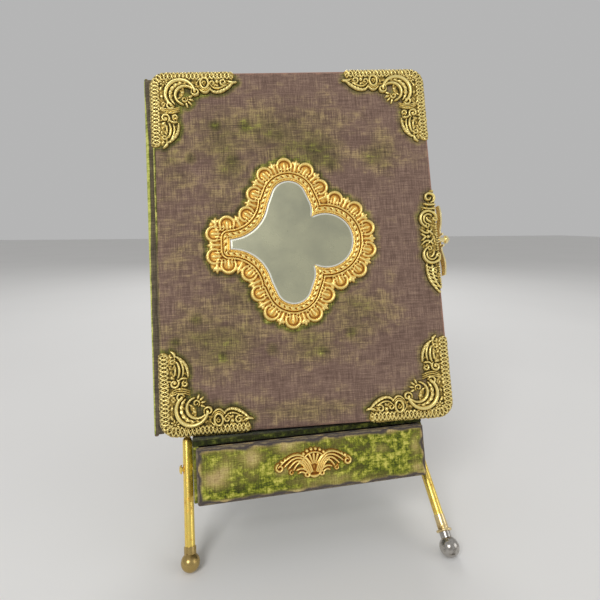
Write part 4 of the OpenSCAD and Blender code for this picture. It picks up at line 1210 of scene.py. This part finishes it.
def covered_board(name, body, matrix, pile_of, wear_of, node):
    """A padded board in velvet: one sheet over its face, edges and sides, paper inside."""
    edge = CLOTH_DOWN + 1
    u, v = np.meshgrid(np.arange(-edge, COVER_W + edge, CLOTH_STEP),
                       np.arange(-edge, COVER_H + edge, CLOTH_STEP), indexing="ij")
    inside, _, _ = board_inside(u, v)
    cells = grid_cells(inside + CLOTH_DOWN)
    u, v = snap_rim(u, v, inside + CLOTH_DOWN, cells, CLOTH_STEP)
    inside, _, _ = board_inside(u, v)
    uneven = PAD_UNEVEN * np.sin(u / 9 + 2 * np.sin(v / 23)) * np.sin(v / 11 + np.sin(u / 17))
    lift = (PAD_RISE + uneven) * smooth(inside, 2, 40)
    quads, edges = cell_faces(cells)
    used, quads = np.unique(quads, return_inverse=True)
    points = wrap_board(u, v, lift).reshape(-1, 3)[used]
    rim = dict(np.searchsorted(used, edges).tolist())
    first = next(iter(rim))
    loop = [first]
    while rim[loop[-1]] != first:
        loop.append(rim[loop[-1]])
    faces = quads.reshape(-1, 4).tolist() + [loop[::-1]]
    u, v = u.ravel()[used], v.ravel()[used]
    values = {"weave": np.stack([u, v, 0 * u], 1) * MM, "pile": pile_of(u, v),
              "wear": wear_of(u, v)}
    mesh = make_mesh(name, place(points, matrix), faces, [COVER_VELVET, ENDPAPER],
                     [0] * (len(faces) - 1) + [1], values)
    piece = make_piece(name, mesh, body, [node])
    return piece


# Velvet on the spine, the joints, the case and the drawer front

def swept(section, heights):
    """A closed section, as rows of x, y, carried up through heights and closed at both ends."""
    count = len(section)
    points = np.concatenate([np.column_stack([section, np.full(count, z)]) for z in heights])
    faces = []
    for level in range(len(heights) - 1):
        low, high = level * count, (level + 1) * count
        for k in range(count):
            n = (k + 1) % count
            faces.append([low + k, low + n, high + n, high + k])
    faces.append(list(range(count))[::-1])
    faces.append(list(range((len(heights) - 1) * count, len(heights) * count)))
    return points, faces


def spine_velvet():
    middle, half = ALBUM_T / 2, ALBUM_T / 2 - SPINE_START
    y = np.linspace(-half, half, 25)
    outer = -(SPINE_IN + SPINE_T + SPINE_BOW * (1 - (y / half) ** 2))
    tuck, tuck_w = 0.7, 1.6
    outer += tuck * (1 - smooth(half - np.abs(y), 0, tuck_w))
    section = np.concatenate([np.column_stack([outer, y + middle]),
                              np.array([[-SPINE_IN, half + middle], [-SPINE_IN, middle - half]])])
    heights = np.linspace(0, COVER_H, 140)
    points, faces = swept(section, heights)
    across, up = points[:, 1], points[:, 2]
    pile = 0.35 + 0.45 * smooth(np.abs(across - middle), half - 5, half) + 0.2 * np.sin(up / 37)
    pile = np.where(points[:, 0] < -SPINE_IN - 0.1, pile, 0)
    values = {"weave": np.column_stack([across, up, 0 * up]) * MM, "pile": pile,
              "wear": np.zeros(len(points))}
    mesh = make_mesh("spine_velvet", place(points, ALBUM), faces, [COVER_VELVET], values=values)
    return make_piece("spine_velvet", mesh, "stand", ["spine"])


JOINT_CLOTH_W, JOINT_CLOTH_HALF_T, JOINT_CLOTH_INSET = 12.5, 0.3, 1.5


def joint_strip(name, path, body, lap_share):
    """A strip of velvet along the joint between the spine and a cover, its pile kept on the lap."""
    across = sideways(path) * JOINT_CLOTH_HALF_T
    outline = np.concatenate([path + across, (path - across)[::-1]])
    heights = np.linspace(JOINT_CLOTH_INSET, COVER_H - JOINT_CLOTH_INSET, 90)
    points, faces = swept(outline, heights)
    share = np.linspace(0, 1, len(path))
    share = np.tile(np.concatenate([share, share[::-1]]), len(heights))
    up = points[:, 2]
    lap = (0.5 + 0.16 * smooth(up, 120, 175) - 0.24 * smooth(up, 215, 272)) * lap_share
    values = {"weave": np.column_stack([share * JOINT_CLOTH_W, up, 0 * up]) * MM,
              "pile": 1.25 * smooth(lap - share, -0.04, 0.08), "wear": np.zeros(len(points))}
    mesh = make_mesh(name, place(points, ALBUM), faces, [JOINT_VELVET], values=values)
    return make_piece(name, mesh, body)


def joint_cloths():
    """The strips over both joints; the front one bends between the spine and the cover."""
    lapped = bent((-3.3, 13.5), (-3.1, 7.2), (-1.6, 6.4), (3.9, 6.9), count=26)
    front = joint_strip("front_joint_cloth", lapped, None, lap_share=1.0)
    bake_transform(front)
    back_path = lapped.copy()
    back_path[:, 1] = ALBUM_T - back_path[:, 1]
    back = joint_strip("back_joint_cloth", back_path, "stand", lap_share=0.45)


def soft_box(low, high, radius, step):
    """A box with rounded edges as points and faces, with each point's place on its face."""
    low, high = np.array(low, float), np.array(high, float)
    points, faces, flat = [], [], []
    start = 0
    bend = radius * np.array([0, 0.3, 0.65, 1])
    for axis in range(3):
        a, b = [k for k in range(3) if k != axis]
        rows = []
        for k in (a, b):
            even = np.linspace(low[k], high[k], max(2, int((high[k] - low[k]) / step)))
            stops = np.concatenate([even, low[k] + bend, high[k] - bend])
            rows.append(np.unique(stops.round(4)))
        for end in (low[axis], high[axis]):
            p, q = np.meshgrid(*rows, indexing="ij")
            side = np.zeros((p.size, 3))
            side[:, axis], side[:, a], side[:, b] = end, p.ravel(), q.ravel()
            points.append(side)
            flat.append(np.column_stack([side[:, a] + side[:, axis], side[:, b], 0 * side[:, a]]))
            quads, _ = cell_faces(np.ones((len(rows[0]) - 1, len(rows[1]) - 1), bool))
            faces.append(quads + start)
            start += p.size
    points = np.concatenate(points)
    core = np.clip(points, low + radius, high - radius)
    way = points - core
    length = np.linalg.norm(way, axis=1, keepdims=True)
    points = core + np.where(length > 0, way / np.maximum(length, 1e-9) * radius, 0)
    return points, np.concatenate(faces).tolist(), np.concatenate(flat)


def velvet_board(name, low, high, body, node, finish, pile_of, wear_of, radius, step):
    """A board of the case or drawer in velvet, with softly rounded edges."""
    points, faces, flat = soft_box(low, high, radius, step)
    values = {"weave": flat * MM, "pile": pile_of(points), "wear": wear_of(points)}
    mesh = make_mesh(name, place(points, STAND), faces, [finish], values=values)
    turn_out(mesh, 1e-6)
    piece = make_piece(name, mesh, body, [node])
    return piece


def edge_wear(low, high, start, reach):
    """Wear along a box's edges: full as far in as start, and gone at about reach, unevenly."""
    low, high = np.array(low, float), np.array(high, float)

    def wear(points):
        x, y, z = points.T
        gap = np.sort(np.minimum(points - low, high - points), axis=1)[:, 1]
        waver = np.sin(x / 5.3 + z / 3.1 + y) * np.sin(x / 17 - z / 9 + 1)
        waver += 0.5 * np.sin(x / 2.7 + z / 2.1)
        return 1 - smooth(gap / (0.72 + 0.36 * waver), start, reach)
    return wear


# Where the drawer front's pile is rubbed away, dark or bright: place across and up, half
# sizes, and how much pile is added there
DRAWER_PATCHES = [
    (-47, -16, 7, 9, -0.55), (-73, -28, 9, 6, -0.6), (-65, -22, 5, 5, -0.4),
    (-22, -10, 7, 4, -0.5), (-28, -27, 6, 5, -0.5), (49, -20, 8, 4, -0.5),
    (76, -20, 5, 8, -0.6), (77, -37, 6, 4, -0.55), (58, -9, 6, 3, -0.5),
    (12, -37, 26, 5, -0.3), (-66, -13, 14, 5, -0.15), (-20, -18, 12, 10, -0.15),
    (-52, -39, 28, 5, 0.3), (60, -16, 26, 9, 0.3), (50, -32, 26, 6, 0.3), (-35, -24, 8, 10, 0.2)]


def drawer_pile(points):
    x, z = points[:, 0], points[:, 2]
    pile = np.full(len(x), 0.86)
    for at_x, at_z, half_x, half_z, added in DRAWER_PATCHES:
        pile += added * np.exp(-((x - at_x) / half_x) ** 2 - ((z - at_z) / half_z) ** 2)
    gap = np.minimum.reduce([x + DRAWER_HALF, DRAWER_HALF - x, z - CASE_BOTTOM_Z, DRAWER_TOP_Z - z])
    return pile * (0.1 + 0.9 * smooth(gap, 0.8, 4.2))


def case_pile(points):
    x, y, z = points.T
    return 0.85 + 0.2 * np.sin(x / 11 + z / 7) * np.sin(y / 9 + 1)


def case_boards():
    """Four boards, each given by its corners; the top and bottom take a darkened velvet that is
    painted shade under the album, and the sides keep the drawer's brighter velvet.
    """
    low_z, high_z = CASE_BOTTOM_Z, CASE_TOP_Z - CASE_TOP_T
    room = CASE_HALF - CASE_SIDE_T
    boards = {
        "case_top": ((-CASE_HALF, CASE_FRONT_Y, high_z), (CASE_HALF, ALBUM_T, CASE_TOP_Z)),
        "case_bottom": ((-room, CASE_FRONT_Y, low_z), (room, ALBUM_T, low_z + CASE_BOTTOM_T)),
        "case_left": ((-CASE_HALF, CASE_FRONT_Y, low_z), (-room, ALBUM_T, high_z)),
        "case_right": ((room, CASE_FRONT_Y, low_z), (CASE_HALF, ALBUM_T, high_z))}
    for node, (low, high) in boards.items():
        finish = DRAWER_VELVET if node in ("case_left", "case_right") else SHADED_CASE_VELVET
        velvet_board(node + "_velvet", low, high, "stand", node, finish, case_pile,
                     edge_wear(low, high, start=0.0, reach=1.0), radius=0.9, step=3.0)


def drawer_front():
    low = (-DRAWER_HALF, -DRAWER_OUT, CASE_BOTTOM_Z)
    high = (DRAWER_HALF, -DRAWER_OUT + DRAWER_FRONT_T, DRAWER_TOP_Z)
    return velvet_board("drawer_front_velvet", low, high, "drawer", "drawer_front", DRAWER_VELVET,
                        drawer_pile, edge_wear(low, high, start=0.6, reach=6.4), radius=1.6,
                        step=1.4)


# Leaves: thick card with an arched window on each side, gilt edges and a linen guard

ARCH_RISE, WINDOW_LINE_W = 18, 2.2
# Which of a leaf's finishes a face has
CARD, GILT, BACKING, LINEN = range(4)


def window_loop(grow, count):
    """The window's outline with an arched head, in the leaf's frame of x and z."""
    half, low = WINDOW_W / 2 + grow, -grow
    radius = (half ** 2 + ARCH_RISE ** 2) / (2 * ARCH_RISE)
    spread = math.degrees(math.asin(half / radius))
    head = arc((0, WINDOW_H + grow + ARCH_RISE - radius), radius, 90 - spread, 90 + spread,
               count - 2)
    return np.concatenate([[(-half, low), (half, low)], head])


def leaf(number):
    root = COVER_T + ROOT_ROOM + (number - 0.5) * LEAF_PITCH
    fan = WEDGE * (LEAF_COUNT + 1 - number) / (LEAF_COUNT + 1)
    matrix = ALBUM @ moved(0, root, 0) @ turned("Z", -fan)
    middle = np.array([(GUARD_W + LEAF_LEN) / 2, (COVER_H - WINDOW_H - ARCH_RISE) / 2])
    count = 22
    inner = window_loop(0, count) + middle
    mount = window_loop(WINDOW_LINE_W, count) + middle
    low, high = np.array([GUARD_W, LEAF_INSET]), np.array([LEAF_LEN, LEAF_INSET + LEAF_H])
    centre = (low + high) / 2
    reach = (mount - centre) / ((high - low) / 2)
    outer = centre + (mount - centre) / np.abs(reach).max(1, keepdims=True)
    corners = np.array([low, (high[0], low[1]), high, (low[0], high[1])])
    for corner in corners:
        outer[np.argmin(np.hypot(*(outer - corner).T))] = corner
    points, faces, kinds = [], [], []

    def ring(loop, y):
        points.append(np.column_stack([loop[:, 0], np.full(len(loop), y), loop[:, 1]]))
        return (len(points) - 1) * count

    def band(first, second, kind):
        for k in range(count):
            n = (k + 1) % count
            faces.append([first + k, first + n, second + n, second + k])
            kinds.append(kind)

    half = LEAF_T / 2
    edge = 0.25
    outer_small = centre + (outer - centre) * (1 - 2 * edge / (high - low))
    rims = []
    for side in (-1, 1):
        panel = ring(inner, side * (half - WINDOW_DEPTH))
        wall = ring(inner, side * half)
        line = ring(mount, side * half)
        face_edge = ring(outer_small, side * half)
        rim = ring(outer, side * (half - edge))
        faces.append(list(range(panel, panel + count)))
        kinds.append(BACKING)
        band(panel, wall, GILT)
        band(wall, line, GILT)
        band(line, face_edge, CARD)
        band(face_edge, rim, GILT)
        rims.append(rim)
    band(rims[0], rims[1], GILT)
    start = len(points) * count
    points = np.concatenate(points)
    overlap = 0.2
    guard = np.array([(x, y, z) for x in (-overlap, GUARD_W + overlap)
                      for y in (-GUARD_T / 2, GUARD_T / 2)
                      for z in (LEAF_INSET, LEAF_INSET + LEAF_H)])
    sides = [[0, 1, 3, 2], [4, 6, 7, 5], [0, 4, 5, 1], [2, 3, 7, 6], [0, 2, 6, 4], [1, 5, 7, 3]]
    faces += [[start + k for k in side] for side in sides]
    kinds += [LINEN] * len(sides)
    name = "leaf_%d" % number
    mesh = make_mesh(name + "_card", place(np.concatenate([points, guard]), matrix), faces,
                     [LEAF_CARD, LEAF_GILT, LEAF_BACKING, GUARD_LINEN], kinds, sharp=30)
    make_piece(name + "_card", mesh, name, [name])


# Repeats by Geometry Nodes

def node_tree(name, inputs):
    """A geometry tree with named inputs; gives the tree and its input and output nodes."""
    tree = bpy.data.node_groups.new(name, "GeometryNodeTree")
    tree.interface.new_socket("Geometry", in_out="INPUT", socket_type="NodeSocketGeometry")
    tree.interface.new_socket("Geometry", in_out="OUTPUT", socket_type="NodeSocketGeometry")
    for label, kind in inputs:
        tree.interface.new_socket(label, in_out="INPUT", socket_type=kind)
    return tree, tree.nodes.new("NodeGroupInput"), tree.nodes.new("NodeGroupOutput")


def tree_node(tree, kind, settings=None, inputs=None):
    new = tree.nodes.new(kind)
    for key, value in (settings or {}).items():
        setattr(new, key, value)
    for key, value in (inputs or {}).items():
        if isinstance(value, bpy.types.NodeSocket):
            tree.links.new(value, new.inputs[key])
        else:
            new.inputs[key].default_value = value
    return new


def end_tree(tree, start, end, copies):
    """Ends a tree: its copies become plain geometry in the material that is given to it."""
    real = tree_node(tree, "GeometryNodeRealizeInstances", {}, {"Geometry": copies.outputs[0]})
    painted = tree_node(tree, "GeometryNodeSetMaterial", {},
                        {"Geometry": real.outputs[0], "Material": start.outputs["Material"]})
    tree.links.new(painted.outputs[0], end.inputs[0])


def grown(name, source, tree, settings):
    """What a tree grows on a mesh, as a plain mesh of its own."""
    host = bpy.data.objects.new(name + "_host", source)
    scene.collection.objects.link(host)
    modifier = host.modifiers.new("grow", "NODES")
    modifier.node_group = tree
    for item in tree.interface.items_tree:
        if item.in_out == "INPUT" and item.name in settings:
            modifier[item.identifier] = settings[item.name]
    bpy.context.view_layer.update()
    evaluated = host.evaluated_get(bpy.context.evaluated_depsgraph_get())
    mesh = bpy.data.meshes.new_from_object(evaluated)
    mesh.name = name
    host.modifiers.remove(modifier)
    bpy.data.objects.remove(host)
    return mesh


def pile_tree():
    """Tufts of pile: thin leaning cones, thickest where the pile value is high."""
    tree, start, end = node_tree("velvet_tufts", [
        ("Density", "NodeSocketFloat"), ("Height", "NodeSocketFloat"), ("Radius", "NodeSocketFloat"),
        ("Seed", "NodeSocketInt"), ("Material", "NodeSocketMaterial")])
    pile = tree_node(tree, "GeometryNodeInputNamedAttribute", {"data_type": "FLOAT"},
                     {"Name": "pile"})
    thick = tree_node(tree, "ShaderNodeMapRange", {"interpolation_type": "SMOOTHSTEP"},
                      {"Value": pile.outputs["Attribute"], "From Min": 0.7, "From Max": 1.2})
    density = tree_node(tree, "ShaderNodeMath", {"operation": "MULTIPLY"},
                        {0: thick.outputs["Result"], 1: start.outputs["Density"]})
    points = tree_node(tree, "GeometryNodeDistributePointsOnFaces", {},
                       {"Mesh": start.outputs["Geometry"], "Density": density.outputs[0],
                        "Seed": start.outputs["Seed"]})
    cone = tree_node(tree, "GeometryNodeMeshCone", {"fill_type": "NGON"},
                     {"Vertices": 3, "Radius Top": 0.0, "Radius Bottom": start.outputs["Radius"],
                      "Depth": start.outputs["Height"]})
    lean = tree_node(tree, "FunctionNodeRandomValue", {"data_type": "FLOAT_VECTOR"},
                     {"Min": (-0.7, -0.7, -3.0), "Max": (0.7, 0.7, 3.0),
                      "Seed": start.outputs["Seed"]})
    tilt = tree_node(tree, "FunctionNodeEulerToRotation", {}, {0: lean.outputs["Value"]})
    turn = tree_node(tree, "FunctionNodeRotateRotation", {"rotation_space": "LOCAL"},
                     {"Rotation": points.outputs["Rotation"], "Rotate By": tilt.outputs[0]})
    size = tree_node(tree, "FunctionNodeRandomValue", {"data_type": "FLOAT"},
                     {2: 0.55, 3: 1.25, "Seed": start.outputs["Seed"]})
    tufts = tree_node(tree, "GeometryNodeInstanceOnPoints", {},
                      {"Points": points.outputs["Points"], "Instance": cone.outputs["Mesh"],
                       "Rotation": turn.outputs[0], "Scale": size.outputs[1]})
    end_tree(tree, start, end, tufts)
    return tree


def screw_tree():
    """Domed screw heads on points, each turned to the point's outward way, with a slot across."""
    tree, start, end = node_tree("screw_heads", [
        ("Radius", "NodeSocketFloat"), ("Material", "NodeSocketMaterial")])
    way = tree_node(tree, "GeometryNodeInputNamedAttribute", {"data_type": "FLOAT_VECTOR"},
                    {"Name": "way"})
    dome = tree_node(tree, "GeometryNodeMeshUVSphere", {}, {"Segments": 16, "Rings": 8,
                                                          "Radius": start.outputs["Radius"]})
    flat = tree_node(tree, "GeometryNodeTransform", {}, {"Geometry": dome.outputs["Mesh"],
                                                         "Scale": (1.0, 1.0, 0.5)})
    wide = tree_node(tree, "ShaderNodeCombineXYZ", {}, {0: 0.0004, 1: 0.006, 2: 0.0012})
    bar = tree_node(tree, "GeometryNodeMeshCube", {}, {"Size": wide.outputs[0]})
    lift = tree_node(tree, "ShaderNodeVectorMath", {"operation": "SCALE"},
                     {0: (0.0, 0.0, 0.62), "Scale": start.outputs["Radius"]})
    raised = tree_node(tree, "GeometryNodeTransform", {}, {"Geometry": bar.outputs[0],
                                                           "Translation": lift.outputs[0]})
    slotted = tree_node(tree, "GeometryNodeMeshBoolean",
                        {"operation": "DIFFERENCE", "solver": "EXACT"},
                        {0: flat.outputs[0], 1: raised.outputs[0]})
    turn = tree_node(tree, "FunctionNodeAlignRotationToVector", {"axis": "Z"},
                     {"Vector": way.outputs["Attribute"]})
    heads = tree_node(tree, "GeometryNodeInstanceOnPoints", {},
                      {"Points": start.outputs["Geometry"], "Instance": slotted.outputs[0],
                       "Rotation": turn.outputs[0]})
    end_tree(tree, start, end, heads)
    return tree


PILE_TREE = pile_tree()
SCREW_TREE = screw_tree()


TUFT_R = 0.16


def grow_pile(cloth, body, per_mm2, seed, height):
    """Tufts on a velvet piece, riding on the same body."""
    name = cloth.name + "_tufts"
    mesh = grown(name, cloth.data.copy(), PILE_TREE,
                 {"Density": per_mm2 / MM ** 2, "Height": height * MM, "Radius": TUFT_R * MM,
                  "Seed": seed, "Material": PILE_FIBRE})
    make_piece(name, mesh, body)


SCREW_R, SCREW_RISE = 2.0, 9


def bracket_screws():
    """Two screws in each bracket of the rear bail, above and below its eye, facing backwards."""
    spots = [(x, ALBUM_T + EASEL_T + BRACKET_T, BAIL_Z + rise)
             for x in (-BRACKET_HALF, BRACKET_HALF) for rise in (-SCREW_RISE, SCREW_RISE)]
    way = np.array(STAND)[:3, 1] / MM
    points = bpy.data.meshes.new("bracket_screws_points")
    points.from_pydata([tuple(place_on) for place_on in place(spots, STAND)], [], [])
    layer = points.attributes.new("way", "FLOAT_VECTOR", "POINT")
    layer.data.foreach_set("vector", np.tile(np.array(way, np.float32), len(spots)))
    heads = grown("bracket_screws", points, SCREW_TREE,
                  {"Radius": SCREW_R * MM, "Material": LEG_BRASS})
    make_piece("bracket_screws", heads, "stand")


# CAD pieces that stay, with their finishes

STAYING = {
    LEG_BRASS: ["left_leg", "right_leg", "rear_bar", "rear_left_strut",
                "rear_right_strut", "rear_feet", "bail_brackets", "leg_bolts"],
    BALL_BRASS: ["left_foot"],
    CLASP_BRASS: ["clasp_stud", "clasp_hasp", "hasp_hinge_plate", "hasp_pin"],
    PALE_BRASS: ["right_ferrule"],
    FOOT_STEEL: ["right_foot"],
    DRAWER_WOOD: ["drawer_left", "drawer_right", "drawer_back", "drawer_bottom"],
    EASEL_CLOTH: ["easel_board"]}


def paint_cad():
    for material, names in STAYING.items():
        for name in names:
            slots = nodes[name].data.materials
            slots.clear()
            slots.append(material)


# Floor and light

def pale_floor():
    p = Paint("studio_floor")
    tone = p.noise(p.where(), 3.0, 2.0)
    material = p.surface({"Base Color": p.mix(tone, srgb(226, 225, 223), srgb(232, 231, 229)),
                          "Roughness": 0.85})
    half = 6.0
    mesh = bpy.data.meshes.new("floor")
    mesh.from_pydata([(-half, -half, 0), (half, -half, 0), (half, half, 0), (-half, half, 0)], [],
                     [(0, 1, 2, 3)])
    mesh.materials.append(material)
    floor = bpy.data.objects.new("floor", mesh)
    scene.collection.objects.link(floor)


def lamp(name, at, aim, watts, size):
    data = bpy.data.lights.new(name, "AREA")
    data.energy = watts
    data.size = size
    light = bpy.data.objects.new(name, data)
    light.location = at
    light.rotation_euler = (Vector(aim) - Vector(at)).to_track_quat("-Z", "Y").to_euler()
    scene.collection.objects.link(light)


def studio():
    pale_floor()
    world = bpy.data.worlds.new("pale_room")
    world.use_nodes = True
    world.node_tree.nodes["Background"].inputs["Color"].default_value = srgb(190, 190, 190)
    world.node_tree.nodes["Background"].inputs["Strength"].default_value = 0.9
    scene.world = world
    middle = (0, 0, 0.18)
    lamp("key", (-0.9, -1.2, 1.3), middle, watts=14, size=0.7)
    lamp("fill", (1.4, -0.8, 0.7), middle, watts=4, size=1.0)
    lamp("rim", (0.3, 1.4, 1.2), middle, watts=8, size=0.8)


# The album and its stand

corner_mounts()
mirror_frame()
mirror_glass()
clasp_plate()
drawer_ornament()
front = covered_board("front_cover_velvet", "cover", FRONT_BOARD, front_pile, front_wear,
                      "front_cover")
covered_board("back_cover_velvet", "stand", BACK_BOARD, back_pile,
              lambda u, v: 0.6 * front_wear(u, v), "back_cover")
spine = spine_velvet()
joint_cloths()
case_boards()
front_panel = drawer_front()
for leaf_number in range(1, LEAF_COUNT + 1):
    leaf(leaf_number)
grow_pile(front, "cover", per_mm2=0.6, seed=3, height=0.7)
grow_pile(spine, "stand", per_mm2=0.5, seed=5, height=0.7)
grow_pile(front_panel, "drawer", per_mm2=0.5, seed=7, height=0.5)
bracket_screws()
paint_cad()
studio()
